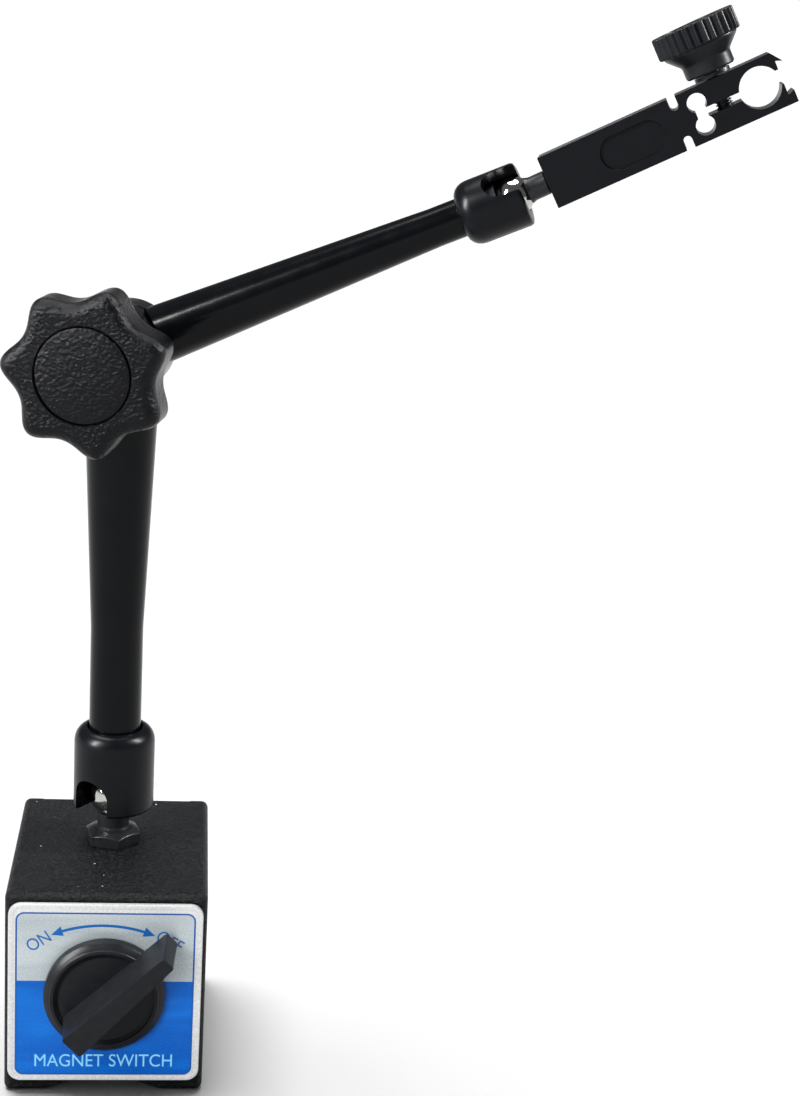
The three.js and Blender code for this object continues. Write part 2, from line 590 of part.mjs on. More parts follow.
// The clamp screw's own group has +Z up along the screw from the block's middle.
function clampScrew() {
  const { screwRadius, collarRadius, foot } = CLAMP;
  const top = BLOCK.half;
  const collarTo = top + CLAMP_KNOB.hubFrom - FIT;
  return turned([
    [0, foot - top], [screwRadius - 0.5, foot - top], [screwRadius, foot - top + 0.5],
    [screwRadius, top + FIT], [collarRadius, top + FIT], [collarRadius, collarTo], [screwRadius, collarTo],
    [screwRadius, top + CLAMP_KNOB.rimFrom], [0, top + CLAMP_KNOB.rimFrom],
  ], 24);
}

function clampKnob() {
  const { hubRadius, hubFrom, hubTo, rimFrom, rimTo } = CLAMP_KNOB;
  const { radius, rootRadius, ribs } = CLAMP_RIM;
  const top = BLOCK.half;
  const ribPoints = [];
  for (let i = 0; i < 2 * ribs; i += 1) {
    const angle = (i / (2 * ribs)) * 2 * Math.PI;
    const r = i % 2 ? rootRadius : radius;
    ribPoints.push([r * Math.cos(angle), r * Math.sin(angle)]);
  }
  const rim = plateY(outlineOf(ribPoints), -top - rimTo, -top - rimFrom, 0.4).rotate([-90, 0, 0]);
  const coneTop = rootRadius - 0.6;
  const cone = turned([
    [0, top + hubFrom], [hubRadius, top + hubFrom], [hubRadius, top + hubTo], [coneTop, top + rimFrom],
    [coneTop, top + rimFrom + 1], [0, top + rimFrom + 1],
  ], 40);
  const hole = rodZ(CLAMP.screwRadius + FIT, 0, top + rimFrom + FIT, 24);
  return rim.add(cone).subtract(hole);
}

function addClampScrew(group) {
  piece(group, 'clamp_screw', BLACK_OXIDE, clampScrew());
  piece(group, 'clamp_knob', BLACK_PLASTIC, clampKnob());
}

function addHolder(forearm) {
  const holder = new THREE.Group();
  holder.position.z = UPPER_ARM.length;
  holder.rotation.y = UPPER_RISE - HOLDER_RISE;
  forearm.add(holder);
  addBallStud(holder);
  addClampBlock(holder);
  const screw = new THREE.Group();
  screw.position.set(0, 0, NECK.length + CLAMP.u);
  screw.rotation.y = -Math.PI / 2;
  holder.add(screw);
  addClampScrew(screw);
}

// ---- Assembly ------------------------------------------------------------------------

const stand = new THREE.Group();
const landCentre = (BASE.width / 2 + GROOVE.halfWidth) / 2;
stand.position.set(-landCentre, -BASE.depth / 2, 0);
addBase(stand);
addLowerStud(stand);

const shoulder = new THREE.Group();
shoulder.position.set(0, STUD.y, LOWER_BALL_Z);
shoulder.rotation.z = ARM_YAW;
stand.add(shoulder);
addLowerArm(shoulder);

const elbow = new THREE.Group();
elbow.position.z = LOWER_ARM.length;
shoulder.add(elbow);
piece(elbow, 'elbow_bolt', STEEL, clampBolt());
addStarKnob(elbow);

const forearm = new THREE.Group();
forearm.rotation.y = Math.PI / 2 - UPPER_RISE;
elbow.add(forearm);
addUpperArm(forearm);
addHolder(forearm);

const object = new THREE.Group();
object.add(stand);
export default object;
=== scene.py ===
from math import asin, cos, pi, radians, sin, sqrt

import bmesh
import bpy
from mathutils import Matrix, Vector


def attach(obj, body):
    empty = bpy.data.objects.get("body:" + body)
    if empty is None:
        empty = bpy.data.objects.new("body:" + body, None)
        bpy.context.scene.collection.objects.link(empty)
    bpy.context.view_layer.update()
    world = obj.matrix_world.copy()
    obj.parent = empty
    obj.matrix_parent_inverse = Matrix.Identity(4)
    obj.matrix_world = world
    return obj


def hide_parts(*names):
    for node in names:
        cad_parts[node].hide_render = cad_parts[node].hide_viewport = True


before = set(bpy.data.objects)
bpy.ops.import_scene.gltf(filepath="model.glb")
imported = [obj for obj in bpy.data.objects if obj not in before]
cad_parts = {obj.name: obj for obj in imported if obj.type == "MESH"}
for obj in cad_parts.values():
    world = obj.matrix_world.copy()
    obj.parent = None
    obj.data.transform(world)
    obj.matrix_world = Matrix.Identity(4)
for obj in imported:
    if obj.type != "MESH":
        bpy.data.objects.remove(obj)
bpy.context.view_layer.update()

# ---- Base casing ----------------------------------------------------------------------
# Two steel poles brazed on both sides of a brass plate, ground square as one block and
# sprayed with black crinkle paint, so no seam shows. A V-groove runs along the sole.

MILLIMETRES = Matrix.Scale(0.001, 4)
STAND = MILLIMETRES @ Matrix.Translation((-20.5, -30, 0))  # x 0 mid base, y 0 its front face
BASE_WIDTH, BASE_DEPTH, BASE_HEIGHT = 50, 60, 55
BASE_EDGE = 1.8
GROOVE_HALF, GROOVE_RISE = 16, 6.4
BACK_RECESS_HALF, BACK_RECESS_DEPTH = 20, 1.5


class Reading:
    """One socket of a finish. Sums of readings and numbers add their own Math nodes."""

    def __init__(self, finish, socket):
        self.finish = finish
        self.socket = socket

    def worked(self, operation, first, second):
        return self.finish.node("ShaderNodeMath", {"operation": operation}, {0: first, 1: second})

    def __add__(self, other):
        return self.worked("ADD", self, other)

    def __sub__(self, other):
        return self.worked("SUBTRACT", self, other)

    def __rsub__(self, other):
        return self.worked("SUBTRACT", other, self)

    def __mul__(self, other):
        return self.worked("MULTIPLY", self, other)

    def __lt__(self, other):
        return self.worked("LESS_THAN", self, other)

    def __gt__(self, other):
        return self.worked("GREATER_THAN", self, other)

    __radd__ = __add__
    __rmul__ = __mul__


class Finish:
    """A material. Its fixed looks are set on the shader, its patterns come from nodes."""

    def __init__(self, name, fixed):
        self.material = bpy.data.materials.new(name)
        self.material.use_nodes = True
        self.tree = self.material.node_tree
        self.tree.nodes.clear()
        self.shader = self.tree.nodes.new("ShaderNodeBsdfPrincipled")
        output = self.tree.nodes.new("ShaderNodeOutputMaterial")
        self.tree.links.new(self.shader.outputs[0], output.inputs[0])
        for socket, value in fixed.items():
            self.shader.inputs[socket].default_value = value

    def node(self, kind, settings, values, output=0):
        """A node with its settings made first, then the values or links of its sockets."""
        made = self.tree.nodes.new(kind)
        for key, value in settings.items():
            if key == "stops":
                self.set_stops(made.color_ramp, value)
            else:
                setattr(made, key, value)
        for key, value in values.items():
            if isinstance(value, Reading):
                self.tree.links.new(value.socket, made.inputs[key])
            else:
                made.inputs[key].default_value = value
        return Reading(self, made.outputs[output])

    def set_stops(self, ramp, stops):
        while len(ramp.elements) < len(stops):
            ramp.elements.new(1)
        for element, (position, colour) in zip(ramp.elements, stops):
            element.position = position
            element.color = colour

    def spot(self, place):
        """Where a point lies in a piece's own millimetres, from the object's coordinates."""
        at, turn, size = place.decompose()
        coordinates = self.node("ShaderNodeTexCoord", {}, {}, output=3)
        return self.node("ShaderNodeMapping", {"vector_type": "TEXTURE"}, {
            "Vector": coordinates, "Location": at, "Rotation": turn.to_euler(), "Scale": size})

    def noise(self, spot, scale, detail=2.0, roughness=0.5, distortion=0.0):
        return self.node("ShaderNodeTexNoise", {}, {
            "Vector": spot, "Scale": scale, "Detail": detail, "Roughness": roughness,
            "Distortion": distortion})

    def cells(self, spot, scale, feature="F1", output=0):
        return self.node("ShaderNodeTexVoronoi", {"feature": feature}, {
            "Vector": spot, "Scale": scale}, output=output)

    def eased(self, reading, low, high, to_low=0.0, to_high=1.0):
        return self.node("ShaderNodeMapRange", {"interpolation_type": "SMOOTHSTEP"}, {
            "Value": reading, "From Min": low, "From Max": high,
            "To Min": to_low, "To Max": to_high})

    def blend(self, share, first, second):
        return self.node("ShaderNodeMix", {"data_type": "RGBA"}, {
            0: share, 6: first, 7: second}, output=2)

    def show(self, looks):
        for socket, reading in looks.items():
            self.tree.links.new(reading.socket, self.shader.inputs[socket])

    def emboss(self, height, strength, distance):
        """Raises the surface by a pattern. The distance is in metres."""
        bump = self.node("ShaderNodeBump", {}, {
            "Strength": strength, "Distance": distance, "Height": height})
        self.show({"Normal": bump})


def block(low, high):
    """A plain block between two corners, to be worked further."""
    shape = bmesh.new()
    bmesh.ops.create_cube(shape, size=1)
    low, high = Vector(low), Vector(high)
    bmesh.ops.scale(shape, vec=high - low, verts=shape.verts)
    bmesh.ops.translate(shape, vec=(low + high) / 2, verts=shape.verts)
    return shape


def moved(shape, x=0, y=0, z=0):
    bmesh.ops.translate(shape, vec=(x, y, z), verts=shape.verts)
    return shape


def turned(shape, angle, axis):
    """The shape turned about one of the axes, by an angle in radians."""
    bmesh.ops.rotate(shape, cent=(0, 0, 0), matrix=Matrix.Rotation(angle, 3, axis),
                     verts=shape.verts)
    return shape


def face_through(shape, corners):
    return shape.faces.new([shape.verts.new(corner) for corner in corners])


def drawn_out(shape, face, move):
    """Extrudes a face by a vector. Returns the points that moved."""
    out = bmesh.ops.extrude_face_region(shape, geom=[face])
    points = [g for g in out["geom"] if isinstance(g, bmesh.types.BMVert)]
    bmesh.ops.translate(shape, vec=move, verts=points)
    return points


def break_edges(shape, width, segments=3, sharper=0.5):
    """Rounds the edges that turn by more than an angle."""
    edges = [e for e in shape.edges if len(e.link_faces) == 2 and e.calc_face_angle() > sharper]
    bmesh.ops.bevel(shape, geom=edges, offset=width, offset_type="OFFSET", segments=segments,
                    profile=0.5, affect="EDGES", material=-1, clamp_overlap=True)
    return shape


def worked_with(shape, tool, operation):
    """The shape cut by a tool, joined to it, or kept where both are."""
    pair = []
    for part in (shape, tool):
        mesh = bpy.data.meshes.new("blank")
        part.to_mesh(mesh)
        part.free()
        pair.append(bpy.data.objects.new("blank", mesh))
        bpy.context.scene.collection.objects.link(pair[-1])
    cut = pair[0].modifiers.new("cut", "BOOLEAN")
    cut.operation = operation
    cut.solver = "EXACT"
    cut.object = pair[1]
    result = bmesh.new()
    result.from_object(pair[0], bpy.context.evaluated_depsgraph_get())
    for blank in pair:
        bpy.data.meshes.remove(blank.data)
    bmesh.ops.dissolve_degenerate(result, dist=1e-4, edges=result.edges)
    return result


def cut_away(shape, *tools):
    for tool in tools:
        shape = worked_with(shape, tool, "DIFFERENCE")
    return shape


def fit_piece(name, shape, place, body, finish, replaced, sharper=0.7):
    """Puts a finished shape in its place on its body, in its finish."""
    bmesh.ops.transform(shape, matrix=place, verts=shape.verts)
    mesh = bpy.data.meshes.new(name)
    shape.to_mesh(mesh)
    shape.free()
    mesh.polygons.foreach_set("use_smooth", [True] * len(mesh.polygons))
    mesh.set_sharp_from_angle(angle=sharper)
    mesh.materials.append(finish.material)
    piece = bpy.data.objects.new(name, mesh)
    bpy.context.scene.collection.objects.link(piece)
    even = piece.modifiers.new("even_shading", "WEIGHTED_NORMAL")
    even.keep_sharp = True
    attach(piece, body)
    if replaced:
        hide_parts(*replaced)
    return piece


crinkle_paint = Finish("crinkle_paint", {"Specular IOR Level": 0.12})
at = crinkle_paint.spot(STAND)
lumps = crinkle_paint.cells(at, 1.0, "SMOOTH_F1")
grit = crinkle_paint.noise(at, 1.35, 6, 0.7)
patches = crinkle_paint.noise(at, 0.09, 2)
# Painted shade: the coat is darker down in the grit's hollows and lighter on its tops.
grit_hollow_shade = crinkle_paint.eased(grit, 0.45, 0.68)
coat = crinkle_paint.blend(grit_hollow_shade, (0.0005, 0.0007, 0.001, 1), (0.0105, 0.0116, 0.0142, 1))
# The sparse light grey dots laid into the coat's colour here are painted glints on the crinkle.
glint_cells = crinkle_paint.cells(at, 0.34)
painted_glints = (glint_cells < 0.085) * (crinkle_paint.noise(at, 0.21, 0) > 0.64)
crinkle_paint.show({
    "Base Color": crinkle_paint.blend(painted_glints * 0.55, coat, (0.55, 0.55, 0.53, 1)),
    "Roughness": 0.3 + 0.2 * grit + 0.08 * patches,
})
crinkle_paint.emboss(1 - lumps + 1.6 * grit, 1.0, 0.0003)

casing = block((-BASE_WIDTH / 2, 0, 0), (BASE_WIDTH / 2, BASE_DEPTH, BASE_HEIGHT))
break_edges(casing, BASE_EDGE, 5)
groove = bmesh.new()
groove_corners = ((-GROOVE_HALF - 2.5, -1), (0, GROOVE_RISE), (GROOVE_HALF + 2.5, -1))
groove_end = face_through(groove, [(x, -2, z) for x, z in groove_corners])
drawn_out(groove, groove_end, (0, BASE_DEPTH + 4, 0))
bmesh.ops.recalc_face_normals(groove, faces=groove.faces)
back_recess = block((-BACK_RECESS_HALF, BASE_DEPTH - BACK_RECESS_DEPTH, -2),
                    (BACK_RECESS_HALF, BASE_DEPTH + 2, BASE_HEIGHT + 2))
casing = cut_away(casing, groove, back_recess)
break_edges(casing, 0.35, 2)
fit_piece("base_casing", casing, STAND, "base", crinkle_paint,
          ("pole_block_left", "pole_block_right", "pole_spacer"))

# ---- Label plate ----------------------------------------------------------------------
# A pressed aluminium plate with a raised bright rim, printed in blue under a clear film
# and glued to the front. The ink is laid on it as thin layers of its own.

LABEL_MIDDLE = 28.4
LABEL = STAND @ Matrix.Translation((0, 0, LABEL_MIDDLE))
LABEL_WIDTH, LABEL_HEIGHT, LABEL_CORNER = 48, 49, 3.2
LABEL_FACE, RIM_FACE, RIM_WIDTH = -1.1, -1.4, 0.95
OUTLINE_HALF_WIDTH, OUTLINE_HALF_HEIGHT, OUTLINE_CORNER = 22.2, 22.6, 2.2
OUTLINE_MIDDLE = -0.4
BLUE_TOP = 3.4
SHAFT_HOLE = 5

label_print = Finish("label_print", {"Specular IOR Level": 0.15})
at = label_print.spot(LABEL)
flat_at = label_print.node("ShaderNodeVectorMath", {"operation": "MULTIPLY"}, {0: at, 1: (1, 0, 1)})
from_middle = label_print.node("ShaderNodeVectorMath", {"operation": "SUBTRACT"}, {
    0: flat_at, 1: (0, 0, OUTLINE_MIDDLE)})
mirrored = label_print.node("ShaderNodeVectorMath", {"operation": "ABSOLUTE"}, {0: from_middle})
past_corner = label_print.node("ShaderNodeVectorMath", {"operation": "SUBTRACT"}, {
    0: mirrored, 1: (OUTLINE_HALF_WIDTH - OUTLINE_CORNER, 0, OUTLINE_HALF_HEIGHT - OUTLINE_CORNER)})
outward = label_print.node("ShaderNodeVectorMath", {"operation": "MAXIMUM"}, {
    0: past_corner, 1: (0, 0, 0)})
round_off = label_print.node("ShaderNodeVectorMath", {"operation": "LENGTH"}, {
    0: outward}, output=1)
within = label_print.eased(round_off - OUTLINE_CORNER, 0.05, -0.05)
within_line = label_print.eased(round_off - OUTLINE_CORNER, -0.38, -0.48)
label_height = label_print.node("ShaderNodeSeparateXYZ", {}, {0: at}, output=2)
below_top = label_print.eased(label_height - BLUE_TOP, 0.04, -0.04)
drawn_wide = label_print.node("ShaderNodeVectorMath", {"operation": "MULTIPLY"}, {
    0: flat_at, 1: (0.02, 0, 0.11)})
sheen_bands = label_print.noise(drawn_wide, 1.4, 2, 0.5, 0.6)
scuffs = label_print.noise(at, 1.8, 4, 0.7)
silver = label_print.blend(label_print.eased(sheen_bands, 0.3, 0.7),
                           (0.40, 0.455, 0.48, 1), (0.50, 0.55, 0.57, 1))
blue = label_print.blend(label_print.eased(sheen_bands, 0.35, 0.68),
                         (0.002, 0.10, 0.47, 1), (0.004, 0.15, 0.60, 1))
inside_colour = label_print.blend(below_top, silver, blue)
outlined = label_print.blend(within_line, (0.006, 0.085, 0.34, 1), inside_colour)
rim_silver = label_print.blend(scuffs, (0.58, 0.59, 0.59, 1), (0.72, 0.72, 0.72, 1))
label_print.show({
    "Base Color": label_print.blend(within, rim_silver, outlined),
    "Roughness": 0.2 + 0.14 * scuffs,
    "Metallic": 0.14 - 0.14 * (within * below_top),
})
label_print.emboss(scuffs, 0.06, 0.00004)


def rounded_plate(width, height, corner, back, front, edge):
    """A plate with round corners, facing the front, with its front edge broken."""
    shape = bmesh.new()
    corners = [(-width / 2, back, -height / 2), (width / 2, back, -height / 2),
               (width / 2, back, height / 2), (-width / 2, back, height / 2)]
    face = face_through(shape, corners)
    bmesh.ops.bevel(shape, geom=list(face.verts), offset=corner, offset_type="OFFSET", segments=10,
                    profile=0.5, affect="VERTICES", material=-1)
    raised = drawn_out(shape, shape.faces[:][0], (0, front - back, 0))
    bmesh.ops.recalc_face_normals(shape, faces=shape.faces)
    rim = [e for e in shape.edges if all(v in raised for v in e.verts)]
    bmesh.ops.bevel(shape, geom=rim, offset=edge, offset_type="OFFSET", segments=3,
                    profile=0.5, affect="EDGES", material=-1)
    return shape


def turned_blank(profile, steps=96):
    """A turned shape about Z from (radius, height) points that start and end on the axis."""
    shape = bmesh.new()
    points = [shape.verts.new((r, 0, z)) for r, z in profile]
    edges = [shape.edges.new(pair) for pair in zip(points, points[1:])]
    bmesh.ops.spin(shape, geom=points + edges, cent=(0, 0, 0), axis=(0, 0, 1), angle=2 * pi,
                   steps=steps, use_merge=True)
    bmesh.ops.remove_doubles(shape, verts=shape.verts, dist=1e-4)
    bmesh.ops.recalc_face_normals(shape, faces=shape.faces)
    return shape


def rod(radius, start, end, steps=64):
    return turned_blank([(0, start), (radius, start), (radius, end), (0, end)], steps)


ALONG_Y = Matrix.Rotation(-pi / 2, 4, "X")  # lays a shape turned about Z along +Y


def laid_along_y(shape, x=0, z=0):
    bmesh.ops.transform(shape, matrix=Matrix.Translation((x, 0, z)) @ ALONG_Y, verts=shape.verts)
    return shape


plate = rounded_plate(LABEL_WIDTH, LABEL_HEIGHT, LABEL_CORNER, -0.3, RIM_FACE, 0.3)
face = max((f for f in plate.faces if f.normal.y < -0.9), key=lambda f: f.calc_area())
bmesh.ops.inset_region(plate, faces=[face], thickness=RIM_WIDTH, use_even_offset=True)
bmesh.ops.inset_region(plate, faces=[face], thickness=0.25, depth=RIM_FACE - LABEL_FACE,
                       use_even_offset=True)
plate = cut_away(plate, laid_along_y(rod(SHAFT_HOLE, -3, 3), z=29 - LABEL_MIDDLE))
fit_piece("label", plate, LABEL, "base", label_print, ("label_plate",), 0.9)

# The switch's legend: a double arrow over the knob, ON and OFF at its tips, and a generic
# line of words at the bottom, screen-printed in two blues.

INK_THICKNESS = 0.03
ARROW_MIDDLE, ARROW_RADIUS = (-0.7, -13.7), 32.4
ARROW_FROM, ARROW_TO = radians(113.2), radians(66.6)
ARROW_HEAD, ARROW_HEAD_HALF, ARROW_LINE_HALF = 2.9, 1.35, 0.36
SMALL_CAPS, LARGE_CAPS = 3.3, 3.5

arrow_ink = Finish("legend_ink", {"Roughness": 0.35, "Specular IOR Level": 0.15})
ink_grain = arrow_ink.noise(arrow_ink.spot(LABEL), 2.2, 3)
arrow_ink.show({
    "Base Color": arrow_ink.blend(ink_grain, (0.005, 0.10, 0.36, 1), (0.01, 0.13, 0.42, 1))})
word_ink = Finish("word_ink", {"Roughness": 0.35, "Specular IOR Level": 0.15})
word_grain = word_ink.noise(word_ink.spot(LABEL), 2.2, 3)
word_ink.show({
    "Base Color": word_ink.blend(word_grain, (0.21, 0.58, 0.86, 1), (0.28, 0.65, 0.91, 1))})


def flat_ink(loops):
    """A thin sheet of ink from closed outlines in X and Z, just proud of the label's face."""
    outline = bpy.data.curves.new("ink", "CURVE")
    outline.dimensions = "2D"
    outline.fill_mode = "BOTH"
    outline.extrude = INK_THICKNESS / 2
    for loop in loops:
        line = outline.splines.new("POLY")
        line.points.add(len(loop) - 1)
        for point, (x, z) in zip(line.points, loop):
            point.co = (x, z, 0, 1)
        line.use_cyclic_u = True
    return sheet_of(outline)


def meshed(curve):
    """A flat curve or a word as a mesh."""
    blank = bpy.data.objects.new("blank", curve)
    bpy.context.scene.collection.objects.link(blank)
    drawn = blank.evaluated_get(bpy.context.evaluated_depsgraph_get())
    shape = bmesh.new()
    shape.from_mesh(drawn.to_mesh())
    drawn.to_mesh_clear()
    bpy.data.objects.remove(blank)
    bpy.data.curves.remove(curve)
    bmesh.ops.remove_doubles(shape, verts=shape.verts, dist=1e-5)
    return shape


def sheet_of(curve):
    """A sheet of ink that faces the front, on the label's face."""
    return turned(meshed(curve), pi / 2, "X")


def printed_word(text, caps, middle, turn, width=None):
    """A word in plain capitals of a given height, centred and turned on the label."""
    curve = bpy.data.curves.new("word", "FONT")
    curve.body = text
    curve.extrude = INK_THICKNESS / 2
    shape = sheet_of(curve)
    low = Vector(min(v.co[i] for v in shape.verts) for i in range(3))
    high = Vector(max(v.co[i] for v in shape.verts) for i in range(3))
    bmesh.ops.translate(shape, vec=-(low + high) / 2, verts=shape.verts)
    size = caps / (high.z - low.z)
    wide = width / (high.x - low.x) if width else size * 0.86
    bmesh.ops.scale(shape, vec=(wide, 1, size), verts=shape.verts)
    return moved(turned(shape, -turn, "Y"), middle[0], LABEL_FACE - 0.01, middle[1])


def joined(*shapes):
    """Separate shapes carried as one piece."""
    whole = bmesh.new()
    for shape in shapes:
        mesh = bpy.data.meshes.new("part")
        shape.to_mesh(mesh)
        shape.free()
        whole.from_mesh(mesh)
        bpy.data.meshes.remove(mesh)
    return whole


def on_arrow(angle, out=0.0):
    radius = ARROW_RADIUS + out
    return (ARROW_MIDDLE[0] + radius * cos(angle), ARROW_MIDDLE[1] + radius * sin(angle))


head = ARROW_HEAD / ARROW_RADIUS
shaft_from, shaft_to = ARROW_FROM - head, ARROW_TO + head
shaft = [shaft_from + (shaft_to - shaft_from) * i / 32 for i in range(33)]
arrow_outline = (
    [on_arrow(ARROW_FROM), on_arrow(shaft_from, ARROW_HEAD_HALF)]
    + [on_arrow(a, ARROW_LINE_HALF) for a in shaft]
    + [on_arrow(shaft_to, ARROW_HEAD_HALF), on_arrow(ARROW_TO),
       on_arrow(shaft_to, -ARROW_HEAD_HALF)]
    + [on_arrow(a, -ARROW_LINE_HALF) for a in reversed(shaft)]
    + [on_arrow(shaft_from, -ARROW_HEAD_HALF)])
arrow = moved(flat_ink([arrow_outline]), y=LABEL_FACE - 0.01)
legend = joined(arrow, printed_word("ON", SMALL_CAPS, (-16.6, 14.3), radians(33)),
                printed_word("OFF", SMALL_CAPS, (15.9, 14.6), radians(-31)))
fit_piece("switch_legend", legend, LABEL, "base", arrow_ink, ())
words = printed_word("MAGNET SWITCH", LARGE_CAPS, (0, -18.9), 0, 34.5)
fit_piece("label_words", words, LABEL, "base", word_ink, ())

# ---- Switched magnet ------------------------------------------------------------------
# A ferrite bar between two D-shaped steel shoes, held by brass end discs, turns in the
# bore. The front disc's shaft comes out through a brass bush with a stop pin.

ROTOR = STAND @ Matrix.Translation((0, 0, 29))


def refinish(finish, *nodes):
    """Gives a carried-over piece a better finish."""
    for node in nodes:
        for material_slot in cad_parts[node].material_slots:
            material_slot.material = finish.material


turned_steel = Finish("turned_steel", {"Metallic": 1.0})
at = turned_steel.spot(ROTOR)
cuts = turned_steel.noise(at, 3.5, 4, 0.6)
turned_steel.show({
    "Base Color": turned_steel.blend(cuts, (0.38, 0.39, 0.40, 1), (0.58, 0.59, 0.60, 1)),
    "Roughness": 0.22 + 0.16 * cuts,
})
turned_steel.emboss(cuts, 0.1, 0.00004)

turned_brass = Finish("turned_brass", {"Metallic": 1.0})
at = turned_brass.spot(ROTOR)
tarnish = turned_brass.noise(at, 0.5, 4, 0.6)
turned_brass.show({
    "Base Color": turned_brass.blend(tarnish, (0.62, 0.40, 0.13, 1), (0.76, 0.55, 0.24, 1)),
    "Roughness": 0.2 + 0.2 * tarnish,
})
turned_brass.emboss(turned_brass.noise(at, 4, 3), 0.08, 0.00004)

ferrite = Finish("ferrite", {"Specular IOR Level": 0.4})
at = ferrite.spot(ROTOR)
grains = ferrite.noise(at, 2.5, 5, 0.7)
ferrite.show({
    "Base Color": ferrite.blend(grains, (0.02, 0.02, 0.022, 1), (0.06, 0.06, 0.065, 1)),
    "Roughness": 0.5 + 0.25 * grains,
})
ferrite.emboss(grains, 0.3, 0.0001)

refinish(ferrite, "rotor_magnet")
refinish(turned_steel, "rotor_shoe_upper", "rotor_shoe_lower", "stop_pin", "knob_pin")
refinish(turned_brass, "front_bush", "rotor_spindle", "rotor_tail")

# ---- Switch knob ----------------------------------------------------------------------
# Moulded black phenolic: a disc with a stepped rim, and a tall bar handle across it that
# narrows towards its pointer. A pin holds it on the magnet's shaft.

SWITCH = ROTOR @ Matrix.Rotation(radians(-45), 4, "Y")
SWITCH_RADIUS, SWITCH_BACK = 15, -1.7
HANDLE_FOOT, HANDLE_HEIGHT, HANDLE_DRAFT = -5.0, 11.5, 0.96
POINTER, POINTER_HALF = 23.4, 2.1
TAIL, TAIL_HALF = 11, 3.6
HANDLE_SUNK = 0.6  # how far its foot goes into the disc

moulded_black = Finish("moulded_black", {"Specular IOR Level": 0.14})
at = moulded_black.spot(SWITCH)
mottle = moulded_black.noise(at, 0.35, 4, 0.6)
grain = moulded_black.noise(at, 4.5, 3, 0.6)
moulded_black.show({
    "Base Color": moulded_black.blend(
        mottle, (0.0036, 0.0042, 0.0052, 1), (0.010, 0.0106, 0.0124, 1)),
    "Roughness": 0.22 + 0.14 * mottle + 0.1 * grain,
})
moulded_black.emboss(grain, 0.22, 0.00005)

knob_disc = turned_blank([
    (0, -SWITCH_BACK), (SWITCH_RADIUS, -SWITCH_BACK), (SWITCH_RADIUS, 4.1), (14.2, 4.95),
    (13.55, 5.35), (13.35, 5.7), (12.5, 5.7), (12.2, 5.35), (11.7, 5.2), (11.4, 5.0),
    (0, 5.0)], 128)
break_edges(turned(knob_disc, pi / 2, "X"), 0.12, 2, 0.45)

handle = bmesh.new()
handle_plan = ((-TAIL, -TAIL_HALF), (POINTER, -POINTER_HALF), (POINTER, POINTER_HALF),
               (-TAIL, TAIL_HALF))
foot = face_through(handle, [(x, HANDLE_FOOT + HANDLE_SUNK, z) for x, z in handle_plan])
bar_top = drawn_out(handle, foot, (0, -HANDLE_HEIGHT - HANDLE_SUNK, 0))
bmesh.ops.scale(handle, vec=(HANDLE_DRAFT, 1, HANDLE_DRAFT - 0.06), verts=bar_top)
bmesh.ops.recalc_face_normals(handle, faces=handle.faces)
uprights = [e for e in handle.edges if abs(e.verts[0].co.y - e.verts[1].co.y) > 1]
bmesh.ops.bevel(handle, geom=uprights, offset=0.7, offset_type="OFFSET", segments=3, profile=0.5,
                affect="EDGES", material=-1)
break_edges(handle, 0.22, 2, 0.7)
knob = worked_with(knob_disc, handle, "UNION")
knob = cut_away(knob, laid_along_y(rod(4.3, -4.9, 1)))
fit_piece("switch_handle", knob, SWITCH, "rotor", moulded_black,
          ("switch_knob",), 0.6)

# ---- Lower stud -----------------------------------------------------------------------
# A hexagon stud turned from bar, blackened, and screwed hard into the top of the base. Its
# flange has a nut's chamfer, and its neck is hollowed to carry the ball.

STUD = STAND @ Matrix.Translation((0, 32.8, 0))
FLANGE_ACROSS, FLANGE_HEIGHT, FLANGE_TURN = 13, 3.8, 14
STUD_NECK = 4.15
LOWER_BALL_RADIUS, LOWER_BALL_HEIGHT = 6.25, 68.3

black_oxide = Finish("black_oxide", {"Metallic": 0.7, "Specular IOR Level": 0.5})
at = black_oxide.spot(STUD)
oil = black_oxide.noise(at, 0.6, 4, 0.6)
tool_marks = black_oxide.noise(at, 5, 3, 0.6)
black_oxide.show({
    "Base Color": black_oxide.blend(oil, (0.010, 0.0105, 0.012, 1), (0.026, 0.027, 0.03, 1)),
    "Roughness": 0.24 + 0.16 * oil + 0.05 * tool_marks,
})
black_oxide.emboss(tool_marks, 0.12, 0.00004)


def ball(radius, middle=0.0, rings=48):
    shape = bmesh.new()
    bmesh.ops.create_uvsphere(shape, u_segments=2 * rings, v_segments=rings, radius=radius)
    return moved(shape, z=middle)


flange_foot = BASE_HEIGHT + 0.1
flange_top = BASE_HEIGHT + 0.3 + FLANGE_HEIGHT
hexagon = bmesh.new()
bmesh.ops.create_cone(hexagon, cap_ends=True, segments=6, radius1=FLANGE_ACROSS / sqrt(3),
                      radius2=FLANGE_ACROSS / sqrt(3), depth=flange_top - flange_foot)
moved(turned(hexagon, radians(FLANGE_TURN), "Z"), z=(flange_top + flange_foot) / 2)
crown = turned_blank([(0, flange_foot - 1), (9, flange_foot - 1), (9, flange_top - 2.3),
                      (4.9, flange_top), (0, flange_top)])
stud = worked_with(hexagon, crown, "INTERSECT")
break_edges(stud, 0.18, 2, 0.35)
neck = turned_blank([
    (0, flange_top - 1), (STUD_NECK + 0.6, flange_top - 1), (STUD_NECK + 0.6, flange_top + 0.2),
    (STUD_NECK, flange_top + 0.7), (STUD_NECK, LOWER_BALL_HEIGHT), (0, LOWER_BALL_HEIGHT)])
stud = worked_with(stud, neck, "UNION")
stud = cut_away(stud, ball(LOWER_BALL_RADIUS + 0.2, LOWER_BALL_HEIGHT))
fit_piece("hexagon_stud", stud, STUD, "base", black_oxide, ("lower_stud",), 0.5)

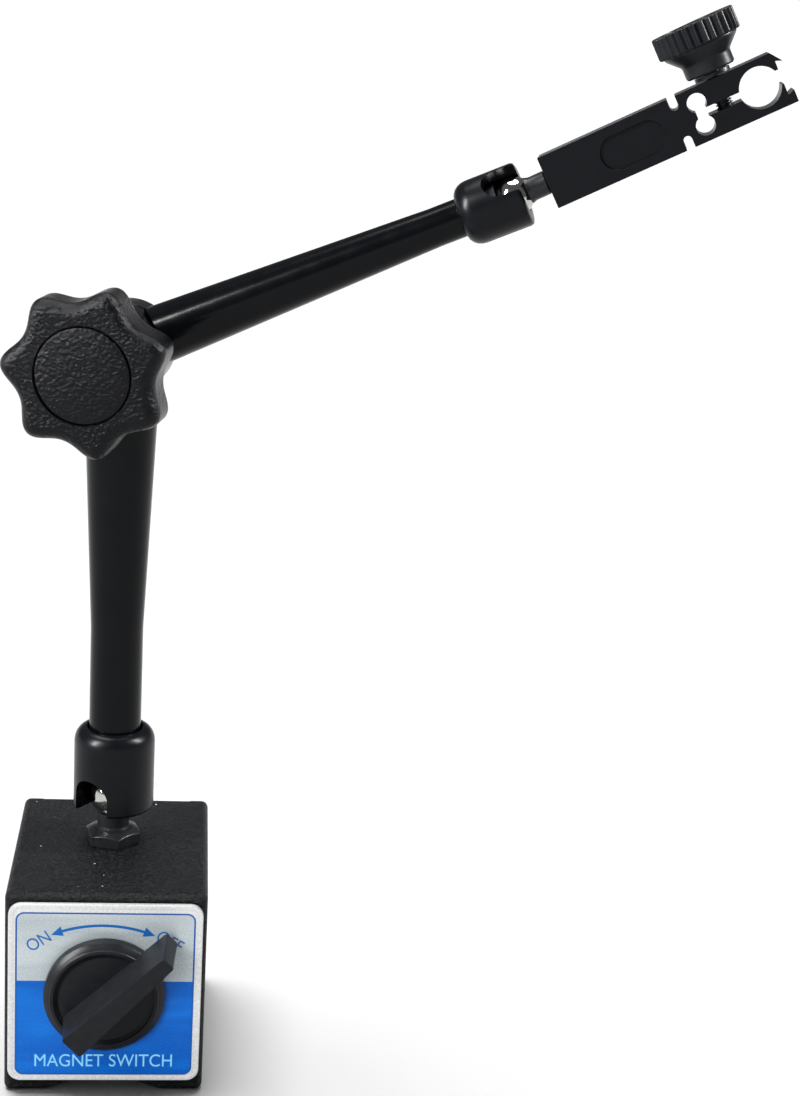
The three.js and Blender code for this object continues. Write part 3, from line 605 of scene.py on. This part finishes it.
# ---- Lower ball and its cup -----------------------------------------------------------
# A hardened, polished steel ball held behind the lip of a blackened steel cup. The slot
# in the cup lets the stud's neck swing out to the side, and a blackened seat grips the ball.

SHOULDER = (STAND @ Matrix.Translation((0, 32.8, LOWER_BALL_HEIGHT))
            @ Matrix.Rotation(radians(-12.3), 4, "Z"))

ball_chrome = Finish("ball_chrome", {"Metallic": 1.0})
at = ball_chrome.spot(SHOULDER)
smears = ball_chrome.noise(at, 0.7, 4, 0.65)
ball_chrome.show({
    "Base Color": ball_chrome.blend(smears, (0.40, 0.41, 0.39, 1), (0.62, 0.63, 0.60, 1)),
    "Roughness": 0.03 + 0.1 * smears,
})
ball_chrome.emboss(smears, 0.05, 0.00003)

satin_black = Finish("satin_black", {"Specular IOR Level": 0.13})
at = satin_black.spot(SHOULDER)
cloud = satin_black.noise(at, 0.25, 3, 0.5)
fine = satin_black.noise(at, 5.5, 3, 0.6)
satin_black.show({
    "Base Color": satin_black.blend(
        cloud, (0.0011, 0.0014, 0.0022, 1), (0.0028, 0.0033, 0.0044, 1)),
    "Roughness": 0.2 + 0.12 * cloud + 0.06 * fine,
})
satin_black.emboss(fine, 0.16, 0.00003)


def slotted_cup(ball_radius, lip, radius, length, bore, mouth, slot_half, slot_top):
    """A cup along +Z round a ball at the origin, with its slot on the +X side."""
    top = length - lip
    shape = turned_blank([
        (0, -lip), (radius - 0.9, -lip), (radius - 0.25, -lip + 0.25), (radius, -lip + 0.9),
        (radius, top - 3.8), (radius - 0.13, top - 2.7), (radius - 0.5, top - 1.7),
        (radius - 1.1, top - 0.85), (radius - 1.9, top - 0.25), (radius - 2.8, top),
        (0, top)], 128)
    round_end = slot_top - slot_half
    slot = worked_with(laid_along_y(rod(slot_half, 0, 2 * radius), z=round_end),
                       block((-slot_half, 0, -lip - 1), (slot_half, 2 * radius, round_end)),
                       "UNION")
    shape = cut_away(shape, rod(bore, 0, top - 1.2, 96), rod(mouth, top - 2, top + 1, 96),
                     ball(ball_radius + 0.3), turned(slot, -pi / 2, "Z"))
    return break_edges(shape, 0.16, 2, 0.6)


LOWER_SLOT_TURN = Matrix.Rotation(radians(-115), 4, "Z")
cup = slotted_cup(LOWER_BALL_RADIUS, lip=3.3, radius=10.35, length=22, bore=6.95, mouth=7.2,
                  slot_half=5.2, slot_top=6.3)
fit_piece("shoulder_cup", cup, SHOULDER @ LOWER_SLOT_TURN, "lower_arm",
          satin_black, ("lower_cup",), 0.6)
fit_piece("shoulder_ball", ball(LOWER_BALL_RADIUS), SHOULDER, "lower_ball",
          ball_chrome, ("lower_ball",))
refinish(black_oxide, "lower_ball_seat")

# ---- Lower arm ------------------------------------------------------------------------
# A steel tube that widens towards the elbow, forged into the front half of the elbow's
# eye and enamelled gloss black. A push rod inside carries the clamping force down.

LOWER_LENGTH = 117.5
ELBOW = SHOULDER @ Matrix.Translation((0, 0, LOWER_LENGTH))
EYE_RADIUS, EYE_THICKNESS, EYE_GAP = 11.4, 9.1, 0.15
SWING_ROOM = 0.7  # beyond the other eye, so that the arms don't touch at the hinge's limits

gloss_black = Finish("gloss_black", {"Specular IOR Level": 0.11})
at = gloss_black.spot(SHOULDER)
flow = gloss_black.noise(at, 0.22, 2, 0.5)
dust = gloss_black.noise(at, 6, 2, 0.5)
gloss_black.show({
    "Base Color": gloss_black.blend(flow, (0.0008, 0.001, 0.0014, 1), (0.0018, 0.0022, 0.0028, 1)),
    "Roughness": 0.13 + 0.08 * flow + 0.06 * gloss_black.eased(dust, 0.62, 0.8),
})
gloss_black.emboss(flow + 0.06 * dust, 0.12, 0.0002)


def arm(length, end_radius, taper_from, elbow_radius, start, bolt_hole, rod_hole, rod_offset,
        bores=()):
    """An arm along +Z from its ball, with the front half of the elbow's eye at its end."""
    tube = turned_blank([
        (0, start), (end_radius - 0.5, start), (end_radius, start + 0.5),
        (end_radius, taper_from), (elbow_radius, length - EYE_RADIUS),
        (elbow_radius, length - 1), (0, length - 1)], 128)
    eye_front = -EYE_GAP - EYE_THICKNESS
    eye = laid_along_y(turned_blank([
        (0, eye_front), (EYE_RADIUS - 1, eye_front), (EYE_RADIUS - 0.3, eye_front + 0.3),
        (EYE_RADIUS, eye_front + 1), (EYE_RADIUS, -EYE_GAP - 0.6),
        (EYE_RADIUS - 1.1, 0.5 - EYE_GAP), (0, 0.5 - EYE_GAP)], 128), z=length)
    shape = worked_with(tube, eye, "UNION")
    shape = cut_away(
        shape,
        laid_along_y(rod(EYE_RADIUS + SWING_ROOM, -EYE_GAP, 20, 96), z=length),
        laid_along_y(rod(6.2, -5.6, 1, 64), z=length),
        laid_along_y(rod(bolt_hole, -20, 0, 64), z=length), *bores)
    channel = moved(rod(rod_hole, start - 1, length, 24), y=-rod_offset)
    return break_edges(cut_away(shape, channel), 0.2, 2, 0.75)


lower = arm(LOWER_LENGTH, end_radius=6.65, taper_from=46, elbow_radius=9.15, start=9,
            bolt_hole=4.2, rod_hole=2.3, rod_offset=2.3)
fit_piece("lower_tube", lower, SHOULDER, "lower_arm", gloss_black,
          ("lower_arm",), 0.6)
refinish(turned_steel, "lower_push_rod")

# ---- Elbow bolt -----------------------------------------------------------------------
# A steel bolt through both eyes. Its cone spreads the push rods when the star knob pulls
# it forward, and its head sits flush in a counterbore behind, with a hexagon socket.

bolt = turned_blank([
    (0, -24), (3.2, -24), (3.9, -23.3), (3.9, -6.4), (3.2, -5.9), (3.2, -5.2), (4.9, 5.2),
    (4.9, 7.05), (7, 7.05), (7, 8.75), (6.5, 9.25), (0, 9.25)], 96)
socket = bmesh.new()
bmesh.ops.create_cone(socket, cap_ends=True, segments=6, radius1=2.9, radius2=2.9, depth=4)
bolt = break_edges(cut_away(bolt, moved(socket, z=9.6)), 0.12, 2, 0.5)
fit_piece("cone_bolt", laid_along_y(bolt), ELBOW, "lower_arm", turned_steel,
          ("elbow_bolt",), 0.6)

# ---- Star knob ------------------------------------------------------------------------
# A seven-lobed clamping knob moulded in leather-grained black plastic on a brass insert,
# with a round cap pressed into its face. A steel washer lies between it and the eye.

STAR_LOBES, STAR_RADIUS, STAR_WAIST, STAR_FIRST = 7, 20, 16.6, radians(22.2)
STAR_FRONT, STAR_BODY, STAR_ROUND = -37, 13, 3.0
STAR_HUB, STAR_CAP = 8.5, 11.2
STAR_FOOT = -11.35

grained_plastic = Finish("grained_plastic", {"Specular IOR Level": 0.15})
at = grained_plastic.spot(ELBOW)
waver = grained_plastic.node("ShaderNodeTexNoise", {}, {
    "Vector": at, "Scale": 0.9, "Detail": 2.0}, output=1)
bent_at = grained_plastic.node("ShaderNodeMix", {"data_type": "VECTOR"}, {
    0: 0.1, 4: at, 5: waver}, output=1)
pebbles = grained_plastic.cells(bent_at, 1.25, "SMOOTH_F1")
dimples = grained_plastic.noise(at, 1.9, 4, 0.65)
cloud = grained_plastic.noise(at, 0.12, 2)
grained_plastic.show({
    "Base Color": grained_plastic.blend(
        cloud, (0.0005, 0.0007, 0.0012, 1), (0.0014, 0.0017, 0.0025, 1)),
    "Roughness": 0.16 + 0.12 * dimples,
})
grained_plastic.emboss(1 - pebbles + 0.9 * dimples, 0.8, 0.00028)


def bevelled_plate(loop, thickness, edge, segments=6):
    """A plate with rounded edges from a closed outline in X and Y, from z 0 upwards."""
    outline = bpy.data.curves.new("plate", "CURVE")
    outline.dimensions = "2D"
    outline.fill_mode = "BOTH"
    outline.extrude = thickness / 2 - edge
    outline.bevel_depth = edge
    outline.bevel_resolution = segments
    outline.offset = -edge
    line = outline.splines.new("POLY")
    line.points.add(len(loop) - 1)
    for point, (x, y) in zip(line.points, loop):
        point.co = (x, y, 0, 1)
    line.use_cyclic_u = True
    shape = moved(meshed(outline), z=thickness / 2)
    bmesh.ops.recalc_face_normals(shape, faces=shape.faces)
    return shape


def star_point(step, steps):
    angle = 2 * pi * step / steps
    wave = cos(STAR_LOBES * angle)
    swell = wave + 0.18 * wave * wave - 0.18
    radius = (STAR_RADIUS + STAR_WAIST) / 2 + (STAR_RADIUS - STAR_WAIST) / 2 * swell
    return (radius * cos(angle + STAR_FIRST), radius * sin(angle + STAR_FIRST))


star = bevelled_plate([star_point(i, 252) for i in range(252)], STAR_BODY, STAR_ROUND, 8)
moved(turned(star, pi / 2, "X"), y=STAR_FRONT + STAR_BODY)
hub = laid_along_y(turned_blank([
    (0, -26), (11.5, -25), (9.6, -23.5), (8.8, -22), (STAR_HUB, -20.5),
    (STAR_HUB, STAR_FOOT - 0.6), (STAR_HUB - 0.6, STAR_FOOT), (0, STAR_FOOT)]))
star = worked_with(star, hub, "UNION")
pocket = laid_along_y(turned_blank([
    (0, STAR_FRONT + 2), (STAR_CAP + 0.25, STAR_FRONT + 2), (STAR_CAP + 0.25, STAR_FRONT + 0.3),
    (STAR_CAP + 0.6, STAR_FRONT - 0.2), (STAR_CAP + 0.6, STAR_FRONT - 1),
    (0, STAR_FRONT - 1)], 128))
star = cut_away(star, pocket, laid_along_y(rod(6.3, -26.2, -10)))
fit_piece("star_grip", star, ELBOW, "star_knob", grained_plastic,
          ("star_knob",), 0.6)

cap = laid_along_y(turned_blank([
    (0, STAR_FRONT - 0.35), (STAR_CAP * 0.5, STAR_FRONT - 0.28),
    (STAR_CAP * 0.8, STAR_FRONT - 0.08), (STAR_CAP - 0.5, STAR_FRONT + 0.08),
    (STAR_CAP - 0.12, STAR_FRONT + 0.25), (STAR_CAP, STAR_FRONT + 0.6),
    (STAR_CAP, STAR_FRONT + 1.7), (0, STAR_FRONT + 1.7)], 128))
fit_piece("star_cap", cap, ELBOW, "star_knob", grained_plastic,
          ("star_knob_cap",), 0.6)
refinish(turned_brass, "knob_insert")
refinish(turned_steel, "knob_washer")

# ---- Upper arm and its cup ------------------------------------------------------------
# The slimmer tube, made like the lower one, with the rear half of the elbow's eye. A
# small slotted cup is screwed on its far end.

UPPER_LENGTH = 102.7
FOREARM = ELBOW @ Matrix.Rotation(radians(90 - 25.1), 4, "Y")
UPPER_TURNED = FOREARM @ Matrix.Translation((0, 0, UPPER_LENGTH)) @ Matrix.Rotation(pi, 4, "X")

head_room = laid_along_y(rod(7.3, -20, -6.75, 96), z=UPPER_LENGTH)  # for the bolt's head
upper = arm(UPPER_LENGTH, end_radius=4.65, taper_from=20, elbow_radius=7.15, start=7,
            bolt_hole=5.2, rod_hole=1.8, rod_offset=2.1, bores=(head_room,))
fit_piece("upper_tube", upper, UPPER_TURNED, "upper_arm", gloss_black,
          ("upper_arm",), 0.6)
refinish(turned_steel, "upper_push_rod")

UPPER_SLOT_TURN = Matrix.Rotation(radians(135), 4, "Z")
UPPER_BALL_RADIUS = 4.75
cup = slotted_cup(UPPER_BALL_RADIUS, lip=2.5, radius=7.7, length=15.8, bore=5.05, mouth=5.1,
                  slot_half=3.9, slot_top=5.9)
fit_piece("wrist_cup", cup, UPPER_TURNED @ UPPER_SLOT_TURN, "upper_arm",
          satin_black, ("upper_cup",), 0.6)
refinish(black_oxide, "upper_ball_seat")

# ---- Upper ball stud ------------------------------------------------------------------
# Turned in one piece. The ball is polished bright, and the neck that screws into the
# clamp is blackened.

HOLDER = (FOREARM @ Matrix.Translation((0, 0, UPPER_LENGTH))
          @ Matrix.Rotation(radians(25.1 - 28.1), 4, "Y"))
NECK_RADIUS, NECK_LENGTH = 2.85, 8.8

fit_piece("wrist_ball", ball(UPPER_BALL_RADIUS), HOLDER, "ball_stud", ball_chrome,
          ("upper_ball_stud",))
stud_neck = turned_blank([(0, 3), (3.2, 3.6), (NECK_RADIUS, 4.6), (NECK_RADIUS, NECK_LENGTH - 0.6),
                          (NECK_RADIUS - 0.25, NECK_LENGTH - 0.3), (2.4, NECK_LENGTH - 0.3),
                          (2.4, NECK_LENGTH + 8), (0, NECK_LENGTH + 8)])
fit_piece("wrist_neck", stud_neck, HOLDER, "ball_stud", black_oxide, (), 0.6)

# ---- Clamp block ----------------------------------------------------------------------
# Sawn and milled from steel bar and blackened. Two slots and a figure-of-eight relief
# leave thin necks that bend, so the screw closes the slit on the stem or the dovetail.

BLOCK_LENGTH, BLOCK_HALF, BLOCK_THICKNESS = 58.9, 6.25, 10.5
BLOCK_EDGE = 0.3
SLOT_U, SLOT_HALF, SLOT_DEPTH = 33, 1, 3.1
RELIEF_U, RELIEF_V, RELIEF_RADIUS = 37.95, 2.72, 2.25
STEM_U, STEM_RADIUS = 52.2, 4.7625
SCREW_U, SCREW_HOLE, SCREW_HOLE_DEPTH = 43.6, 2.25, 0.8  # it stops short of the low side
SLIT_HALF, MOUTH_LOW, MOUTH_HIGH = 1, 1.25, 2.1
DOVETAIL_DEPTH, DOVETAIL_FLOOR, DOVETAIL_LOW_TIP, DOVETAIL_HIGH_TIP = 1.6, 4.1, 3.4, 3.5
CORNER_CUT = 2.1
RECESS_FROM, RECESS_TO, RECESS_HALF, RECESS_DEPTH = 13.6, 28.8, 3.8, 0.7


def bend(middle, radius, start, end, steps=40):
    """Points round an arc, between two angles in radians."""
    return [(middle[0] + radius * cos(start + (end - start) * i / steps),
             middle[1] + radius * sin(start + (end - start) * i / steps)) for i in range(steps + 1)]


def upward(radius, height):
    """The angle at which a circle reaches a height above its middle, on its right."""
    return asin(height / radius)


slot_floor = BLOCK_HALF - SLOT_DEPTH + SLOT_HALF
dovetail = BLOCK_LENGTH - DOVETAIL_DEPTH
relief_out = upward(RELIEF_RADIUS, RELIEF_V - SLIT_HALF)
relief_in = pi - upward(RELIEF_RADIUS, sqrt(RELIEF_RADIUS ** 2 - 1))
stem_in, stem_low, stem_high = (
    upward(STEM_RADIUS, v) for v in (SLIT_HALF, MOUTH_LOW, MOUTH_HIGH))
block_outline = (
    [(0, -BLOCK_HALF), (SLOT_U - SLOT_HALF, -BLOCK_HALF)]
    + bend((SLOT_U, -slot_floor), SLOT_HALF, pi, 0, 14)
    + [(SLOT_U + SLOT_HALF, -BLOCK_HALF), (BLOCK_LENGTH, -BLOCK_HALF),
       (BLOCK_LENGTH, -DOVETAIL_LOW_TIP), (dovetail, -DOVETAIL_FLOOR), (dovetail, -MOUTH_LOW)]
    + bend((STEM_U, 0), STEM_RADIUS, -stem_low, -pi + stem_in)
    + bend((RELIEF_U, -RELIEF_V), RELIEF_RADIUS, relief_out, relief_in - 2 * pi)
    + bend((RELIEF_U, RELIEF_V), RELIEF_RADIUS, 2 * pi - relief_in, -relief_out)
    + bend((STEM_U, 0), STEM_RADIUS, pi - stem_in, stem_high)
    + [(dovetail, MOUTH_HIGH), (dovetail, DOVETAIL_FLOOR), (BLOCK_LENGTH, DOVETAIL_HIGH_TIP),
       (BLOCK_LENGTH - CORNER_CUT, BLOCK_HALF), (SLOT_U + SLOT_HALF, BLOCK_HALF)]
    + bend((SLOT_U, slot_floor), SLOT_HALF, 0, -pi, 14)
    + [(SLOT_U - SLOT_HALF, BLOCK_HALF), (0, BLOCK_HALF)])
# The block is drawn lying down, from the neck along X, with its front face up.
ON_BLOCK = Matrix(((0, -1, 0, 0), (0, 0, -1, 0), (1, 0, 0, NECK_LENGTH), (0, 0, 0, 1)))

jaws = bmesh.new()
back_face = face_through(jaws, [(u, v, 0) for u, v in block_outline])
drawn_out(jaws, back_face, (0, 0, BLOCK_THICKNESS))
bmesh.ops.recalc_face_normals(jaws, faces=jaws.faces)
break_edges(jaws, BLOCK_EDGE, 2, 0.7)
recess = bmesh.new()
recess_middle = ((RECESS_FROM + RECESS_TO) / 2, 0, BLOCK_THICKNESS - RECESS_DEPTH)
recess_corners = [(RECESS_FROM, -RECESS_HALF), (RECESS_TO, -RECESS_HALF), (RECESS_TO, RECESS_HALF),
                  (RECESS_FROM, RECESS_HALF)]
floor_face = face_through(recess, [(u, v, recess_middle[2]) for u, v in recess_corners])
bmesh.ops.bevel(recess, geom=list(floor_face.verts), offset=RECESS_HALF - 0.05,
                offset_type="OFFSET", segments=16, profile=0.5, affect="VERTICES", material=-1)
# Its wall leans out a little, then opens as a chamfer that ends above the block's face.
for rise, spread in ((RECESS_DEPTH - 0.2, 0.05), (0.4, 0.4)):
    top = max(recess.faces, key=lambda f: f.calc_center_median().z)
    buried = [top] if len(recess.faces) > 1 else []
    lifted_points = drawn_out(recess, top, (0, 0, rise))
    bmesh.ops.delete(recess, geom=buried, context="FACES_ONLY")
    for point in lifted_points:
        out = Vector((point.co.x - recess_middle[0], point.co.y, 0)).normalized()
        point.co += out * spread
bmesh.ops.recalc_face_normals(recess, faces=recess.faces)
half_way = BLOCK_THICKNESS / 2
screw_hole = turned(rod(SCREW_HOLE, -BLOCK_HALF + SCREW_HOLE_DEPTH, 20, 48), -pi / 2, "X")
stud_hole = turned(rod(2.7, -2, 9, 48), pi / 2, "Y")
jaws = cut_away(jaws, recess, moved(screw_hole, SCREW_U, z=half_way), moved(stud_hole, z=half_way))
fit_piece("clamp_jaws", moved(jaws, z=-half_way), HOLDER @ ON_BLOCK, "holder",
          satin_black, ("clamp_block",), 0.5)

# ---- Clamp screw and knob -------------------------------------------------------------
# An M4 screw with rolled threads, which shows where it crosses the slit, in a moulded
# knob with a fine ribbed rim on a short cone.

CLAMP = (HOLDER @ Matrix.Translation((0, 0, NECK_LENGTH + SCREW_U))
         @ Matrix.Rotation(-pi / 2, 4, "Y"))
SCREW_RADIUS, SCREW_ROOT, SCREW_PITCH = 2.0, 1.62, 0.7
KNOB_RIM, KNOB_ROOT, KNOB_RIBS = 9.75, 9.15, 32

core = turned_blank([
    (0, -5.05), (1.3, -5.05), (SCREW_ROOT, -4.7), (SCREW_ROOT, 6.55), (4.2, 6.55), (4.2, 7.35),
    (2, 7.35), (2, 14.15), (0, 14.15)], 64)
thread = bmesh.new()
thread_section = ((SCREW_ROOT - 0.2, -0.33), (SCREW_RADIUS, -0.06), (SCREW_RADIUS, 0.06),
                  (SCREW_ROOT - 0.2, 0.33))
crest = face_through(thread, [(r, 0, z - 4.6) for r, z in thread_section])
turns, steps_a_turn = 15, 32
bmesh.ops.spin(thread, geom=[crest], cent=(0, 0, 0), axis=(0, 0, 1), angle=2 * pi * turns,
               dvec=(0, 0, SCREW_PITCH / steps_a_turn), steps=turns * steps_a_turn, use_merge=False)
bmesh.ops.recalc_face_normals(thread, faces=thread.faces)
fit_piece("knob_screw", joined(core, thread), CLAMP, "clamp_screw", black_oxide,
          ("clamp_screw",), 0.5)

rib_steps = KNOB_RIBS * 10
rib_outline = []
for step in range(rib_steps):
    angle = 2 * pi * step / rib_steps
    swell = max(cos(KNOB_RIBS * angle), -0.72)
    radius = KNOB_RIM - (KNOB_RIM - KNOB_ROOT) * (1 - swell) / 1.72
    rib_outline.append((radius * cos(angle), radius * sin(angle)))
rim = moved(bevelled_plate(rib_outline, 5.3, 0.45, 3), z=14.15)
hub = turned_blank([
    (0, 7.65), (5.4, 7.65), (5.8, 8.05), (5.8, 10.5), (6.0, 11.0), (8.4, 13.4), (8.75, 13.9),
    (8.75, 14.8), (0, 14.8)], 96)
knob = worked_with(rim, hub, "UNION")
dish = turned_blank([(0, 18.9), (7.2, 18.9), (7.6, 19.2), (7.9, 20.5), (0, 20.5)], 96)
knob = cut_away(knob, dish, rod(2.3, 0, 14.45, 48))
fit_piece("ribbed_knob", knob, CLAMP, "clamp_screw", moulded_black,
          ("clamp_knob",), 0.6)

# ---- Studio ---------------------------------------------------------------------------
# A plain white table under a broad soft light from above. A soft box on each side draws
# the highlights on the black parts, and the label has a soft light of its own.

floor = bmesh.new()
bmesh.ops.create_grid(floor, x_segments=1, y_segments=1, size=20)
floor_mesh = bpy.data.meshes.new("floor")
floor.to_mesh(floor_mesh)
floor.free()
table_white = Finish("table_white", {"Roughness": 0.9, "Specular IOR Level": 0.1})
tone = table_white.noise(table_white.spot(STAND), 0.01, 1)
table_white.show({
    "Base Color": table_white.blend(tone, (0.86, 0.86, 0.86, 1), (0.88, 0.88, 0.88, 1))})
floor_mesh.materials.append(table_white.material)
floor_piece = bpy.data.objects.new("floor", floor_mesh)
bpy.context.scene.collection.objects.link(floor_piece)

world = bpy.data.worlds.new("studio")
world.use_nodes = True
walls = world.node_tree.nodes
background = walls["Background"]
direction = walls.new("ShaderNodeTexCoord")
height = walls.new("ShaderNodeSeparateXYZ")
shade = walls.new("ShaderNodeValToRGB")
stops = ((0.04, (1, 1, 1, 1)), (0.13, (0.14, 0.14, 0.143, 1)))
for stop, (position, colour) in zip(shade.color_ramp.elements, stops):
    stop.position, stop.color = position, colour
world.node_tree.links.new(direction.outputs["Generated"], height.inputs[0])
world.node_tree.links.new(height.outputs["Z"], shade.inputs["Fac"])
world.node_tree.links.new(shade.outputs["Color"], background.inputs["Color"])
bpy.context.scene.world = world

matt_parts = bpy.data.collections.new("matt_parts")
lit_label = bpy.data.collections.new("lit_label")
for name in ("floor", "label", "switch_legend", "label_words"):
    matt_parts.objects.link(bpy.data.objects[name])
    if name != "floor":
        lit_label.objects.link(bpy.data.objects[name])
for part in matt_parts.collection_objects:
    part.light_linking.link_state = "EXCLUDE"


def lamp(name, kind, position, energy, size, lights_only=None, target=(-0.01, -0.005, 0.13)):
    light = bpy.data.lights.new(name, kind)
    light.energy = energy
    lamp_object = bpy.data.objects.new(name, light)
    if kind == "SUN":
        light.angle = size
    else:
        light.shape = "RECTANGLE"
        light.size, light.size_y = size
        lamp_object.light_linking.receiver_collection = lights_only
    lamp_object.location = position
    towards = Vector(target) - Vector(position)
    lamp_object.rotation_euler = towards.to_track_quat("-Z", "Y").to_euler()
    bpy.context.scene.collection.objects.link(lamp_object)


lamp("sky_panel", "SUN", (-0.25, 0.35, 1.8), 3.6, radians(40))
lamp("left_box", "AREA", (-0.85, -0.46, 0.62), 34, (0.2, 0.6), matt_parts)
lamp("right_box", "AREA", (0.95, -0.08, 0.85), 30, (0.15, 0.6), matt_parts)
lamp("label_panel", "AREA", (-0.3, -0.8, 0.45), 6.6, (0.4, 0.4), lit_label)

camera = bpy.data.cameras.new("camera")
camera.lens, camera.sensor_width = 65.05, 36
camera.clip_start, camera.clip_end = 0.01, 60
camera_object = bpy.data.objects.new("camera", camera)
yaw, pitch, roll = -0.1113, 0.2798, 0.0614
forward = Vector((-sin(yaw) * cos(pitch), cos(yaw) * cos(pitch), -sin(pitch)))
level = Vector((cos(yaw), sin(yaw), 0))
upright = level.cross(forward)
right = cos(roll) * level + sin(roll) * upright
up = -sin(roll) * level + cos(roll) * upright
turn = Matrix((right, up, -forward)).transposed().to_4x4()
camera_object.matrix_world = Matrix.Translation((-0.003322, -0.481042, 0.277046)) @ turn
bpy.context.scene.collection.objects.link(camera_object)
bpy.context.scene.camera = camera_object
bpy.context.scene.view_settings.view_transform = "Standard"
